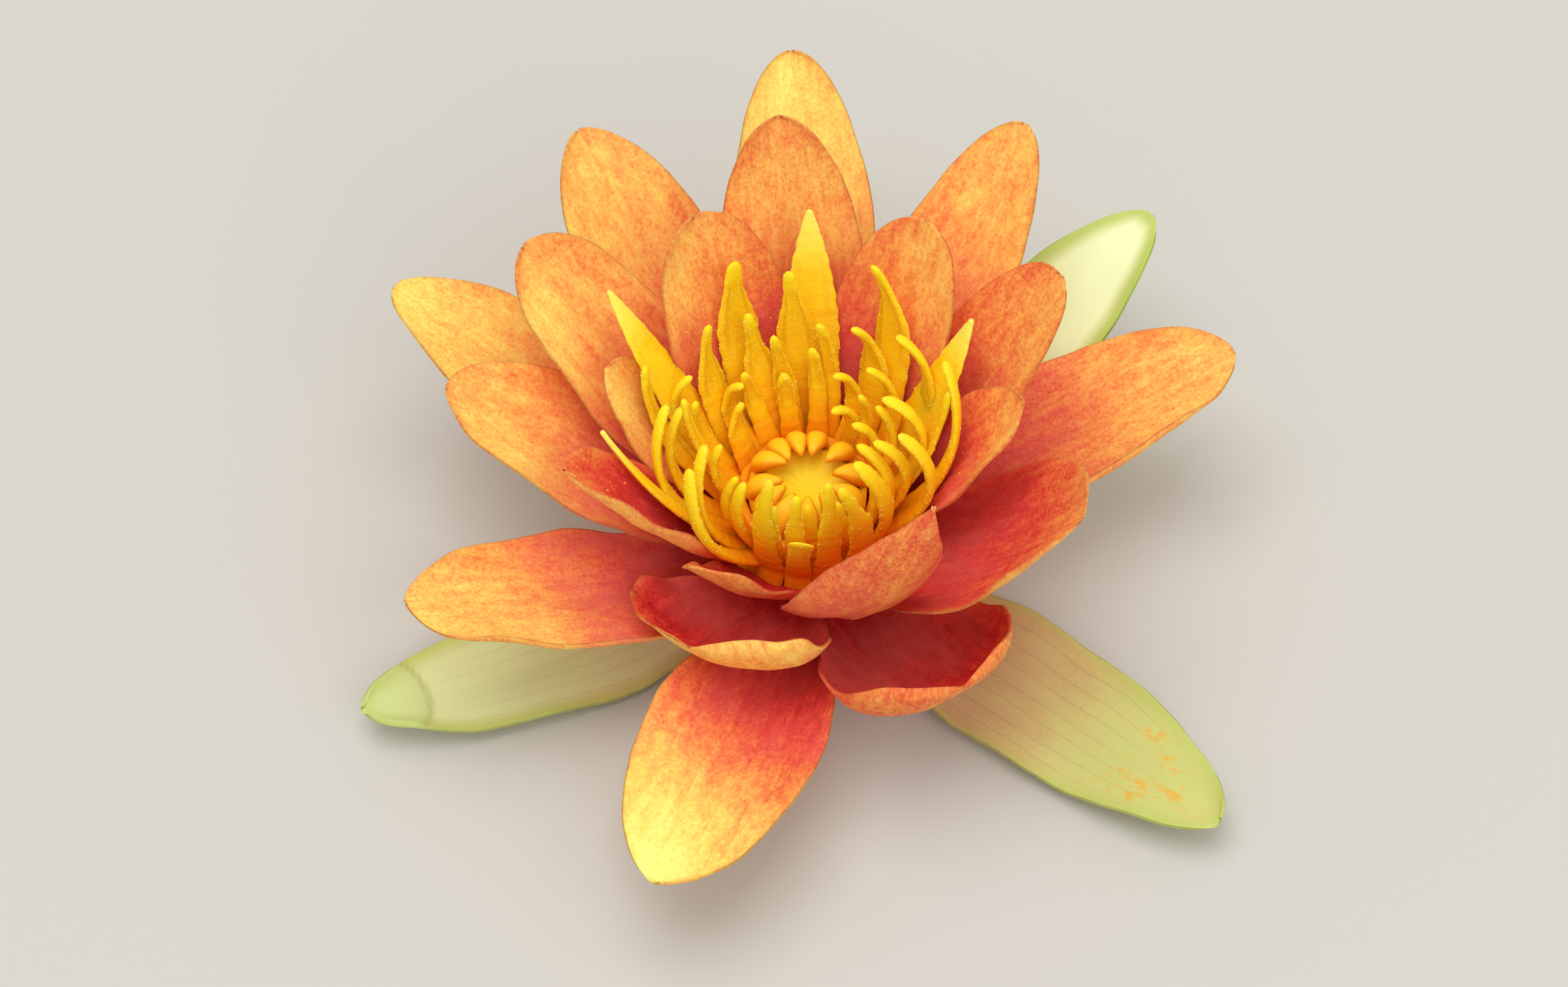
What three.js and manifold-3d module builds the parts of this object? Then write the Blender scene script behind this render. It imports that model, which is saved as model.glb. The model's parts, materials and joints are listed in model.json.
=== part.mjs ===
// Water lily flower, fully open, as cut: sepals, petals, stamens, styles and stigma disc on a short stalk.
// Millimetres, +Z up. The flower rests at z = 0 on the cut face of its stalk and on three of its sepals,
// and the origin is the middle of its outline on that surface. Its front is -Y.
// Azimuths are degrees about the stalk: 0 is +X, 90 the back, 270 the front.
import * as THREE from "three";
import { mergeVertices } from "three/addons/utils/BufferGeometryUtils.js";
import Module from "manifold-3d";

const wasm = await Module();
wasm.setup();

// ---- driving sizes ----
const AXIS_X = 0.83; // where the stalk stands from the middle of the outline
const AXIS_Y = -1.91;
const STALK_RADIUS = 4.6;
const BLADE_THICK_BASE = 1.1; // petal thickness where it leaves the receptacle
const BLADE_THICK_EDGE = 0.75; // petal thickness at its tip and edges
const ROWS = 9; // steps along a blade
const COLUMNS = 6; // steps across a blade
const TIP_WIDTH = 0.6;
const DISC_RADIUS = 6.2;
const DISC_TOP = 22.0;
const STYLE_BAND_RADIUS = 7.4; // outside of the band the styles grow from
const STYLE_BAND_TOP = 21.5;
const COLLAR_BASE = 14.8; // underside of the collar the stamens stand on
const COLLAR_TOP = 20.4;
const COLLAR_RADIUS = 9.8; // outside of the collar at its foot
const SEAT_GAP = 0.3; // clearance between two parts that sit on each other

// Where each whorl leaves the receptacle: radius and height, and the outline its blades share.
const SEPAL = { r0: 5.5, z0: 3.6, base: 0.45, widest: 0.45, point: 1.8, cup: 22 };
const OUTER = { r0: 6.5, z0: 5.5, base: 0.27, widest: 0.52, point: 1.9, cup: 28 };
const MIDDLE = { r0: 7.5, z0: 8.0, base: 0.27, widest: 0.52, point: 2.0, cup: 28 };
const INNER = { r0: 8.5, z0: 10.5, base: 0.3, widest: 0.52, point: 2.0, cup: 28 };

// One row per blade. az: azimuth it grows towards. rise, tip: slope of its midrib at base and tip.
// lean: sideways bend in its own plane. cup: how far its edges turn up. power: where it curls.
// left, right: an extra fold of one edge. point: bluntness of the tip.
const BLADES = {
  sepal_front_right: {
    ...SEPAL, az: 330.2, length: 58.8, width: 20, rise: -14, tip: 18, lean: -16.5, base: 0.52, widest: 0.42,
  },
  sepal_front_left: { ...SEPAL, az: 202, length: 55, width: 17.5, rise: -14, tip: 16 },
  sepal_back_right: { ...SEPAL, z0: 3.2, az: 42.5, length: 58.5, width: 18, rise: 17, tip: 24, base: 0.35 },
  sepal_back_left: { ...SEPAL, az: 131, length: 46, width: 16, rise: -14.5, tip: 12 },

  petal_outer_back: {
    ...OUTER, r0: 6.2, z0: 4.8, az: 89, length: 60, width: 19.5, rise: 30, tip: 38, lean: 6,
  },
  petal_outer_back_left: { ...OUTER, r0: 6.9, z0: 6.6, az: 125, length: 55, width: 20.3, rise: 35, tip: 40 },
  petal_outer_back_right: { ...OUTER, r0: 6.9, z0: 6.6, az: 57, length: 55, width: 17.5, rise: 35, tip: 40 },
  petal_outer_left: { ...OUTER, r0: 6.2, z0: 5.0, az: 153, length: 57, width: 18, rise: 23, tip: 22 },
  petal_outer_front_left: {
    ...OUTER, r0: 6.5, z0: 5.4, az: 207.5, length: 49, width: 19, rise: 22.6, tip: 21, lean: -15, left: -22,
  },
  petal_outer_front: {
    ...OUTER, r0: 6.3, z0: 5.0, az: 256.5, length: 50, width: 23, rise: 14, tip: 11, lean: -12,
  },
  petal_outer_right: { ...OUTER, r0: 6.3, z0: 5.2, az: 20, length: 54, width: 20.3, rise: 19.4, tip: 19 },

  petal_middle_back: {
    ...MIDDLE, r0: 7.7, z0: 8.6, az: 93, length: 50, width: 19.2, rise: 50, tip: 60, lean: 4,
  },
  petal_middle_back_left: {
    ...MIDDLE, r0: 7.8, z0: 8.9, az: 147, length: 46.5, width: 19, rise: 41, tip: 45, point: 2.4,
  },
  petal_middle_left: { ...MIDDLE, r0: 7.4, z0: 7.0, az: 172, length: 46, width: 19.2, rise: 35, tip: 37 },
  petal_middle_right: {
    ...MIDDLE, r0: 7.6, z0: 8.5, az: 335, length: 41.5, width: 25, rise: 31, tip: 62, cup: 22, right: 15, point: 2.4,
  },
  petal_middle_front_left: {
    ...MIDDLE, r0: 7.9, z0: 9.6, az: 258.5, length: 25, width: 27.5, rise: 12.5, tip: 96, power: 2.2, cup: 32,
    widest: 0.6, point: 2.6, lean: -40,
  },
  petal_middle_front_right: {
    ...MIDDLE, r0: 7.1, z0: 7.0, az: 292.5, length: 38, width: 25, rise: 7, tip: 82, power: 1.6, cup: 38,
    widest: 0.6, lean: 22,
  },
  petal_middle_back_right: {
    ...MIDDLE, r0: 7.7, z0: 8.6, az: 27.5, length: 44.3, width: 16.5, rise: 49, tip: 56, point: 2.6,
  },

  petal_inner_back_left: {
    ...INNER, r0: 8.9, z0: 11.8, az: 119.5, length: 38, width: 17.7, rise: 55, tip: 65, point: 2.6,
  },
  petal_inner_back_right: {
    ...INNER, r0: 8.8, z0: 11.7, az: 58.5, length: 38, width: 16.8, rise: 55, tip: 65, point: 2.4,
  },
  petal_inner_left: {
    ...INNER, r0: 8.9, z0: 11.8, az: 159.6, length: 28.5, width: 12, rise: 46.5, tip: 58, left: -25,
  },
  petal_inner_front_left: {
    ...INNER, r0: 8.2, z0: 9.9, az: 200, length: 38, width: 14, rise: 48.5, tip: 60, cup: 45, left: 40, right: -30,
  },
  petal_inner_right: { ...INNER, r0: 8.8, z0: 11.7, az: 3, length: 31.5, width: 13.5, rise: 52, tip: 62 },
  petal_inner_front_right: {
    ...INNER, r0: 8.7, z0: 11.5, az: 283.5, length: 37.5, width: 15.5, rise: 33.5, tip: 106, lean: 31, cup: 28,
    base: 0.4, widest: 0.5, point: 2.2,
  },
  petal_inner_front: {
    ...INNER, r0: 9.0, z0: 11.6, az: 243, length: 19.5, width: 9, rise: 39, tip: 67, cup: 30, lean: -60,
    base: 0.4, widest: 0.45, point: 1.8,
  },
};
// Where each row of stamens stands on the collar: radius and height of the feet.
const STAMEN_ROWS = { outer: [9.2, 15.8], middle: [8.9, 17.6], inner: [8.5, 19.4] };
// One line per stamen. Row, azimuth of the foot, azimuth of the tip, reach (how far from the middle the tip
// stands), height of the tip, width of the strap, width of the finger at its end, hook (degrees the end turns
// inwards), kind, and power (how late it turns).
const STAMENS = [
  ["outer", 154, 147, 29, 41, 4.0, 1.6, -8, "petal", 1.8],
  ["outer", 141, 132, 18, 37, 3.8, 1.5, 38, "strap", 3],
  ["outer", 120, 114, 22, 41, 5.0, 2.4, 30, "strap", 3],
  ["outer", 93, 97, 19.5, 40, 4.2, 1.8, 18, "strap", 3],
  ["outer", 88, 89.5, 27, 42.6, 5.6, 1.6, 2, "petal", 1.8],
  ["middle", 113, 115, 17.5, 36, 4.2, 1.7, 20, "strap", 3],
  ["middle", 101, 107, 14.5, 34, 3.0, 1.5, 20, "strap", 3],
  ["inner", 103, 105, 11.5, 30, 2.4, 1.8, 15, "strap", 2],
  ["inner", 122, 127, 13, 31, 2.6, 1.4, 40, "strap", 2.5],
  ["inner", 137, 131, 12, 30, 3.0, 1.3, 120, "strap", 2.5],
  ["inner", 146, 136, 11, 28.5, 3.2, 1.5, 60, "strap", 2.5],
  ["outer", 168, 157, 21.5, 35.5, 3.4, 1.8, 48, "strap", 2.2],
  ["middle", 162, 149, 16.5, 33, 3.0, 1.5, 105, "strap", 2.5],
  ["outer", 197, 168, 17.5, 34, 2.6, 1.8, 108, "strap", 1.8],
  ["outer", 186, 163, 16, 32, 2.5, 1.6, 98, "strap", 1.8],
  ["middle", 158, 156, 15, 31, 2.8, 1.5, 50, "strap", 2.5],
  ["inner", 172, 161, 16, 33, 2.2, 1.4, 30, "strap", 2],
  ["outer", 226, 204, 15.5, 35, 2.7, 2.0, 88, "strap", 1.6],
  ["outer", 214, 190, 12.5, 34, 2.4, 1.7, 95, "strap", 1.6],
  ["inner", 184, 178, 10.5, 30, 2.8, 1.6, 70, "strap", 2],
  ["middle", 205, 207, 9.5, 30, 2.0, 1.3, 65, "strap", 1.8],
  ["middle", 218, 217, 9.5, 31, 2.3, 1.6, 55, "strap", 1.8],
  ["outer", 240, 241, 9.2, 35, 3.4, 1.7, 35, "strap", 1.8],
  ["middle", 246, 246, 10, 31, 1.8, 1.2, 20, "strap", 1.8],
  ["middle", 261, 262, 9.1, 33, 2.5, 1.5, 30, "strap", 1.8],
  ["inner", 273, 270, 7, 28, 1.9, 1.4, 20, "strap", 1.8],
  ["outer", 285, 286, 8.8, 35, 3.0, 1.6, 30, "strap", 1.8],
  ["outer", 310, 294, 9.4, 34, 3.6, 1.7, 45, "strap", 1.8],
  ["outer", 331, 323, 7, 33, 3.0, 2.2, 80, "strap", 1.8],
  ["middle", 346, 364, 6, 30, 2.3, 1.6, 105, "strap", 1.8],
  ["middle", 352, 356, 8, 32, 2.4, 1.7, 110, "strap", 1.8],
  ["outer", 345, 356, 11, 34, 2.8, 2.0, 118, "strap", 1.8],
  ["inner", 24, 39, 7, 28.5, 2.4, 1.5, 90, "strap", 2],
  ["inner", 17, 33, 10, 31, 2.4, 1.5, 75, "strap", 2],
  ["inner", 44, 50, 10, 30, 2.2, 1.4, 50, "strap", 2],
  ["middle", 5, 30, 10.5, 33, 2.6, 1.9, 135, "strap", 2],
  ["middle", 34, 53, 12, 33, 2.8, 1.5, 95, "strap", 2],
  ["middle", 22, 49, 16.5, 36, 3.4, 2.0, 108, "strap", 2.2],
  ["middle", 53, 68, 14.5, 36, 3.6, 1.7, 85, "strap", 2.5],
  ["outer", 47, 68, 21, 41, 4.8, 1.6, 55, "strap", 3.2],
  ["outer", 26, 33, 24, 38.8, 4.0, 1.4, 4, "petal", 1.8],
  ["outer", 352, 386, 18.5, 37, 2.8, 2.0, 90, "strap", 1.8],
  ["inner", 58, 73, 11, 30, 2.6, 1.4, 110, "strap", 2.5],
  ["inner", 52, 67, 7.5, 27.5, 2.6, 1.4, 115, "strap", 2.5],
  ["middle", 74, 85, 15, 35, 2.6, 1.8, 35, "strap", 3],
  ["inner", 82, 88, 13.5, 32, 2.3, 1.6, 25, "strap", 3],
  ["outer", 266, 267, 12.5, 27, 4.2, 3.0, 0, "blunt", 1.8],
  ["outer", 205, 181, 25, 34.5, 2.2, 1.4, 20, "petal", 1.2],
  ["outer", 6, 16, 18, 35, 3.4, 1.5, 20, "strap", 1.8],
  ["inner", 300, 298, 7.5, 28, 2.0, 1.4, 30, "strap", 1.8],
  ["inner", 330, 338, 8.5, 27, 2.2, 1.4, 60, "strap", 1.8],
  ["inner", 228, 226, 8, 27, 2.0, 1.4, 40, "strap", 1.8],
];
// Azimuths of the styles, the carpel tips that bend in over the disc.
const STYLES = [8, 45, 79, 103, 126, 153, 187, 213, 240, 270, 303, 335];
const STYLE_FOOT_RADIUS = 6.9;
const STYLE_LENGTH = 6;
const STYLE_WIDTH = 2.2;
const STYLE_THICK = 1.5;

const rad = THREE.MathUtils.degToRad;
const smooth = (t) => THREE.MathUtils.smoothstep(t, 0, 1);

// Half the width of a blade at u, 0 at its base and 1 at its tip.
function halfWidth(u, b) {
  const rise = b.base + (1 - b.base) * Math.sin(Math.min(u / b.widest, 1) * Math.PI / 2) ** 1.35;
  const t = Math.max(0, (u - b.widest) / (1 - b.widest));
  const fall = Math.max(0, 1 - t ** 2.1) ** (1 / b.point);
  return Math.max((b.width / 2) * (u < b.widest ? rise : fall), TIP_WIDTH / 2);
}

// Direction of a midrib at u, the side direction of its blade, and the normal of its upper face.
function midribFrame(b, u) {
  const az = rad(b.az);
  const slope = rad(b.rise + (b.tip - b.rise) * u ** (b.power ?? 1));
  const lean = rad((b.lean ?? 0) * u);
  const out = new THREE.Vector3(
    Math.cos(slope) * Math.cos(az), Math.cos(slope) * Math.sin(az), Math.sin(slope));
  const across = new THREE.Vector3(-Math.sin(az), Math.cos(az), 0);
  const along = out.clone().multiplyScalar(Math.cos(lean)).addScaledVector(across, Math.sin(lean));
  const side = across.clone().multiplyScalar(Math.cos(lean)).addScaledVector(out, -Math.sin(lean));
  return { along, side, normal: new THREE.Vector3().crossVectors(along, side).normalize() };
}

// Points of a midrib from its root, at equal steps of u.
function midribPoints(b, root, steps) {
  const points = [root.clone()];
  for (let i = 1; i <= steps; i++) {
    const { along } = midribFrame(b, (i - 0.5) / steps);
    points.push(points[i - 1].clone().addScaledVector(along, b.length / steps));
  }
  return points;
}

function pointAt(points, u) {
  const k = Math.min(u, 0.999999) * (points.length - 1);
  return points[Math.floor(k)].clone().lerp(points[Math.floor(k) + 1], k % 1);
}

// Upper and lower points of a blade, row by row from base to tip.
function bladeGrid(b) {
  const az = rad(b.az);
  const root = new THREE.Vector3(b.r0 * Math.cos(az), b.r0 * Math.sin(az), b.z0);
  const midrib = midribPoints(b, root, 64);
  const upper = [], lower = [];
  for (let i = 0; i <= ROWS; i++) {
    const u = 1 - (1 - i / ROWS) ** 1.6;
    const centre = pointAt(midrib, u);
    const { side, normal } = midribFrame(b, u);
    const half = halfWidth(u, b);
    const fade = smooth(u / 0.35);
    for (let j = 0; j <= COLUMNS; j++) {
      const v = -1 + (2 * j) / COLUMNS;
      const fold = (v > 0 ? b.left : b.right) ?? 0;
      let across = 0, up = 0, turn = 0;
      for (let k = 0; k < 12; k++) {
        const q = ((k + 0.5) / 12) * Math.abs(v);
        turn = rad(b.cup * q * (0.55 + 0.45 * fade) + fold * fade * q ** 3);
        across += (Math.cos(turn) * half * Math.abs(v)) / 12;
        up += (Math.sin(turn) * half * Math.abs(v)) / 12;
      }
      const middle = centre.clone().addScaledVector(side, across * Math.sign(v)).addScaledVector(normal, up);
      const face = normal.clone().multiplyScalar(Math.cos(turn)).addScaledVector(side, -Math.sin(turn) * Math.sign(v));
      const thick = THREE.MathUtils.lerp(BLADE_THICK_BASE, BLADE_THICK_EDGE, Math.max(u, v * v * smooth(u / 0.2)));
      upper.push(middle.clone().addScaledVector(face, thick / 2));
      lower.push(middle.addScaledVector(face, -thick / 2));
    }
  }
  return { upper, lower };
}

// A blade as one closed mesh: upper face, lower face and the rim between them.
function blade(b) {
  const { upper, lower } = bladeGrid(b);
  const points = [...upper, ...lower], faces = [];
  const n = COLUMNS + 1, under = upper.length;
  for (let i = 0; i < ROWS; i++)
    for (let j = 0; j < COLUMNS; j++) {
      const a = i * n + j, c = a + n;
      faces.push([a, c, c + 1], [a, c + 1, a + 1]);
      faces.push([a + under, c + 1 + under, c + under], [a + under, a + 1 + under, c + 1 + under]);
    }
  const rim = [];
  for (let j = 0; j < COLUMNS; j++) rim.push(j);
  for (let i = 0; i < ROWS; i++) rim.push(i * n + COLUMNS);
  for (let j = COLUMNS; j > 0; j--) rim.push(ROWS * n + j);
  for (let i = ROWS; i > 0; i--) rim.push(i * n);
  rim.forEach((a, k) => {
    const c = rim[(k + 1) % rim.length];
    faces.push([a, c, c + under], [a, c + under, a + under]);
  });
  return geometryFrom(points, faces);
}

function geometryFrom(points, faces) {
  const geometry = new THREE.BufferGeometry().setFromPoints(points);
  geometry.setIndex(faces.flat());
  return geometry;
}

// A closed geometry as a solid that can be joined with others.
function solidOf(geometry) {
  const bare = new THREE.BufferGeometry().setAttribute("position", geometry.getAttribute("position"));
  bare.setIndex(geometry.index);
  const merged = mergeVertices(bare, 1e-4);
  const index = merged.index.array, kept = [];
  for (let i = 0; i < index.length; i += 3) {
    const [a, b, c] = index.slice(i, i + 3);
    if (a !== b && b !== c && c !== a) kept.push(a, b, c);
  }
  const vertProperties = merged.getAttribute("position").array;
  return new wasm.Manifold(new wasm.Mesh({ numProp: 3, vertProperties, triVerts: new Uint32Array(kept) }));
}

// A strap or finger along a midrib: rings of an oval section, closed at both ends.
function strap(b, root, rows, sides, profile) {
  const midrib = midribPoints(b, root, 48);
  const points = [], faces = [];
  for (let i = 0; i <= rows; i++) {
    const u = i / rows;
    const centre = pointAt(midrib, u);
    const { side, normal } = midribFrame(b, u);
    const [w, t] = profile(u);
    for (let k = 0; k < sides; k++) {
      const a = (2 * Math.PI * (k + 0.5)) / sides;
      points.push(centre.clone().addScaledVector(side, (Math.cos(a) * w) / 2).addScaledVector(normal, (Math.sin(a) * t) / 2));
    }
  }
  for (let i = 0; i < rows; i++)
    for (let k = 0; k < sides; k++) {
      const a = i * sides + k, c = i * sides + ((k + 1) % sides);
      faces.push([a, c, c + sides], [a, c + sides, a + sides]);
    }
  const last = rows * sides;
  for (let k = 1; k < sides - 1; k++) {
    faces.push([0, k + 1, k]);
    faces.push([last, last + k, last + k + 1]);
  }
  return geometryFrom(points, faces);
}

// Width and thickness of a stamen at u, from its foot to its tip.
function stamenProfile(kind, width, finger, u) {
  const lerp = THREE.MathUtils.lerp;
  if (kind === "petal") {
    const body = width * (0.5 + 0.5 * smooth(u / 0.45));
    return [lerp(body, finger, smooth((u - 0.5) / 0.5)), lerp(1.3, 0.9, u)];
  }
  const foot = width * (0.75 + 0.25 * smooth(u / 0.15));
  const end = 1 - 0.3 * smooth((u - 0.88) / 0.12);
  return [lerp(foot, finger, smooth((u - 0.5) / 0.25)) * end, lerp(1.5, 1.15, u) * end];
}

// A stamen from its foot on the collar to its tip. Its slope, lean and length are closed in on step by step,
// until the end of the curve stands where the tip is set.
function stamen([row, az, tipAz, reach, height, width, finger, hook, kind, power]) {
  const [footRadius, footHeight] = STAMEN_ROWS[row];
  const out = new THREE.Vector3(Math.cos(rad(az)), Math.sin(rad(az)), 0);
  const across = new THREE.Vector3(-out.y, out.x, 0);
  const foot = out.clone().multiplyScalar(footRadius).setZ(footHeight);
  const tip = new THREE.Vector3(reach * Math.cos(rad(tipAz)), reach * Math.sin(rad(tipAz)), height);
  const aim = (point) => {
    const path = point.clone().sub(foot), size = path.length();
    return [size, THREE.MathUtils.radToDeg(Math.atan2(path.z, path.dot(out))),
      THREE.MathUtils.radToDeg(Math.asin(path.dot(across) / size))];
  };
  const [size, slope, turn] = aim(tip);
  const b = { az, length: size, rise: slope, tip: slope + hook, lean: 0, power };
  for (let k = 0; k < 30; k++) {
    const [size2, slope2, turn2] = aim(midribPoints(b, foot, 48)[48]);
    b.length *= size / size2;
    b.rise += slope - slope2;
    b.tip = b.rise + hook;
    b.lean += 1.5 * (turn - turn2);
  }
  return strap(b, foot, 6, 5, (u) => stamenProfile(kind, width, finger, u));
}

// A solid of revolution about Z from a profile of [radius, height] pairs, from its foot up its outside.
function turned(profile, sides) {
  const points = profile.map(([r, z]) => new THREE.Vector2(r, z));
  return new THREE.LatheGeometry(points, sides).rotateX(Math.PI / 2);
}

// Several closed geometries joined into one body.
function fuse(geometries) {
  const solid = wasm.Manifold.union(geometries.map(solidOf));
  const m = solid.getMesh(), n = m.numProp;
  const xyz = new Float32Array(m.numVert * 3);
  for (let i = 0; i < m.numVert; i++) xyz.set(m.vertProperties.subarray(i * n, i * n + 3), i * 3);
  const geometry = new THREE.BufferGeometry();
  geometry.setAttribute("position", new THREE.BufferAttribute(xyz, 3));
  geometry.setIndex(new THREE.BufferAttribute(new Uint32Array(m.triVerts), 1));
  return geometry;
}

function stamenRing() {
  const inside = STYLE_BAND_RADIUS + SEAT_GAP;
  const collar = turned([
    [inside, COLLAR_BASE], [COLLAR_RADIUS, COLLAR_BASE], [COLLAR_RADIUS - 1.1, COLLAR_TOP],
    [inside, COLLAR_TOP], [inside, COLLAR_BASE],
  ], 40);
  return fuse([collar, ...STAMENS.map(stamen)]);
}

function styleRing() {
  const inside = DISC_RADIUS + SEAT_GAP;
  const band = turned([
    [inside, COLLAR_BASE], [STYLE_BAND_RADIUS, COLLAR_BASE], [STYLE_BAND_RADIUS, STYLE_BAND_TOP],
    [inside, STYLE_BAND_TOP], [inside, COLLAR_BASE],
  ], 40);
  const styles = STYLES.map((az) => {
    const foot = new THREE.Vector3(Math.cos(rad(az)), Math.sin(rad(az)), 0).multiplyScalar(STYLE_FOOT_RADIUS);
    foot.setZ(STYLE_BAND_TOP - 0.5);
    return strap({ az, length: STYLE_LENGTH, rise: 85, tip: 200 }, foot, 6, 6, (u) => {
      const swell = 0.75 + 0.25 * Math.sin(Math.PI * Math.min(u / 0.8, 1));
      const end = 1 - 0.45 * smooth((u - 0.7) / 0.3);
      return [STYLE_WIDTH * swell * end, STYLE_THICK * end];
    });
  });
  return fuse([band, ...styles]);
}

const stigmaDisc = turned([
  [0, COLLAR_BASE], [DISC_RADIUS, COLLAR_BASE], [DISC_RADIUS, DISC_TOP - 0.8], [5.6, DISC_TOP - 0.1],
  [5.0, DISC_TOP], [2.8, DISC_TOP - 0.9], [1.1, DISC_TOP - 1.1], [0.45, DISC_TOP - 0.5], [0, DISC_TOP - 0.5],
], 40);

const receptacle = turned([
  [0, 0], [STALK_RADIUS, 0], [STALK_RADIUS, 2.2], [4.9, 3.5], [5.7, 5.5], [6.5, 8.0], [7.2, 10.2],
  [8.4, 12.6], [9.0, 13.6], [9.0, COLLAR_BASE - SEAT_GAP], [0, COLLAR_BASE - SEAT_GAP],
], 40);

const PETAL_RED = 0xe0552f, PETAL_YELLOW = 0xf2b24e, SEPAL_GREEN = 0xcfdc8a;
const STAMEN_YELLOW = 0xfbb914, STYLE_GOLD = 0xf5a41e, DISC_GOLD = 0xffc814, STALK_GREEN = 0xa9b46a;

const flower = new THREE.Group();
flower.name = "water_lily_flower";
flower.position.set(AXIS_X, AXIS_Y, 0);

function add(name, geometry, color, roughness = 0.55) {
  geometry.computeVertexNormals();
  const mesh = new THREE.Mesh(geometry, new THREE.MeshStandardMaterial({ color, roughness, metalness: 0 }));
  mesh.name = name;
  flower.add(mesh);
}

for (const [name, b] of Object.entries(BLADES)) {
  const outer = name.startsWith("petal_outer");
  add(name, blade(b), name.startsWith("sepal") ? SEPAL_GREEN : outer ? PETAL_YELLOW : PETAL_RED);
}
add("receptacle", receptacle, STALK_GREEN);
add("stamen_ring", stamenRing(), STAMEN_YELLOW);
add("style_ring", styleRing(), STYLE_GOLD, 0.45);
add("stigma_disc", stigmaDisc, DISC_GOLD, 0.4);

export default flower;
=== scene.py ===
# An open water lily flower: sepals, petals, stamens, styles and stigma disc on a short cut stalk.
# The tables below are in millimetres and degrees; everything is built in metres, +Z up, front at -Y.
import json
import math

import bpy
import numpy as np
from mathutils import Euler, Matrix, Vector

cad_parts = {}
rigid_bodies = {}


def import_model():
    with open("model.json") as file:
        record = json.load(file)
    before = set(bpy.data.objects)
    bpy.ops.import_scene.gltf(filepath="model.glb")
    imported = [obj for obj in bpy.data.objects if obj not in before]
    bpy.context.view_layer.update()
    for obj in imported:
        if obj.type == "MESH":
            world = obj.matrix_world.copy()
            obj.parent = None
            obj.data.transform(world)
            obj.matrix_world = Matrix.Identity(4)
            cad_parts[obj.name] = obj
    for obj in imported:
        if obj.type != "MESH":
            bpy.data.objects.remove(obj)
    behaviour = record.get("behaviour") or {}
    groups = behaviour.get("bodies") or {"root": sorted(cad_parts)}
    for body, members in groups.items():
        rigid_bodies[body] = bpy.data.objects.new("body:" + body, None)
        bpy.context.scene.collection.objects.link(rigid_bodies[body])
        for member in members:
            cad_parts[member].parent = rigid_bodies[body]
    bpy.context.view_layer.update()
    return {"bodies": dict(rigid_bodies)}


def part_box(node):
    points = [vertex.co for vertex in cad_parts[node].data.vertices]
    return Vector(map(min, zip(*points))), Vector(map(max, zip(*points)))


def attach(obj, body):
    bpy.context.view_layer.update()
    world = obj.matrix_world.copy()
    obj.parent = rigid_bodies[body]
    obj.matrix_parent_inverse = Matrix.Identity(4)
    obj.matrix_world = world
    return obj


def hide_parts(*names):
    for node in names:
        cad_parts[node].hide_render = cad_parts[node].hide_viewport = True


bl_info = {
    "name": "Water Lily Flower",
    "version": (1, 0, 0),
    "blender": (4, 5, 0),
    "location": "View3D > Sidebar > Water Lily",
    "description": "Builds the sepals, petals, stamens, styles and disc of an open water lily flower",
    "category": "Object",
}

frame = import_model()
BODY = next(iter(frame["bodies"]))
MM = 0.001

# The flower's axis stands where the stigma disc does.
DISC_LOW, DISC_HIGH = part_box("stigma_disc")
AXIS = ((DISC_LOW + DISC_HIGH) / 2 / MM).xy
DISC_RADIUS = (DISC_HIGH.x - DISC_LOW.x) / 2 / MM
DISC_TOP = DISC_HIGH.z / MM

# ---- blades: where each whorl leaves the receptacle, and the outline that its blades share ----
# r0, z0: radius and height of the root. base: width there, as a share of the full width. widest: where along
# it a blade is widest. point: how blunt its tip is. cup: how far its edges turn up, in degrees.
SEPAL = dict(r0=5.5, z0=3.6, base=0.45, widest=0.45, point=1.8, cup=22)
OUTER = dict(r0=6.5, z0=5.5, base=0.27, widest=0.52, point=1.9, cup=28)
MIDDLE = dict(r0=7.5, z0=8.0, base=0.27, widest=0.52, point=2.0, cup=28)
INNER = dict(r0=8.5, z0=10.5, base=0.3, widest=0.52, point=2.0, cup=28)

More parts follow.
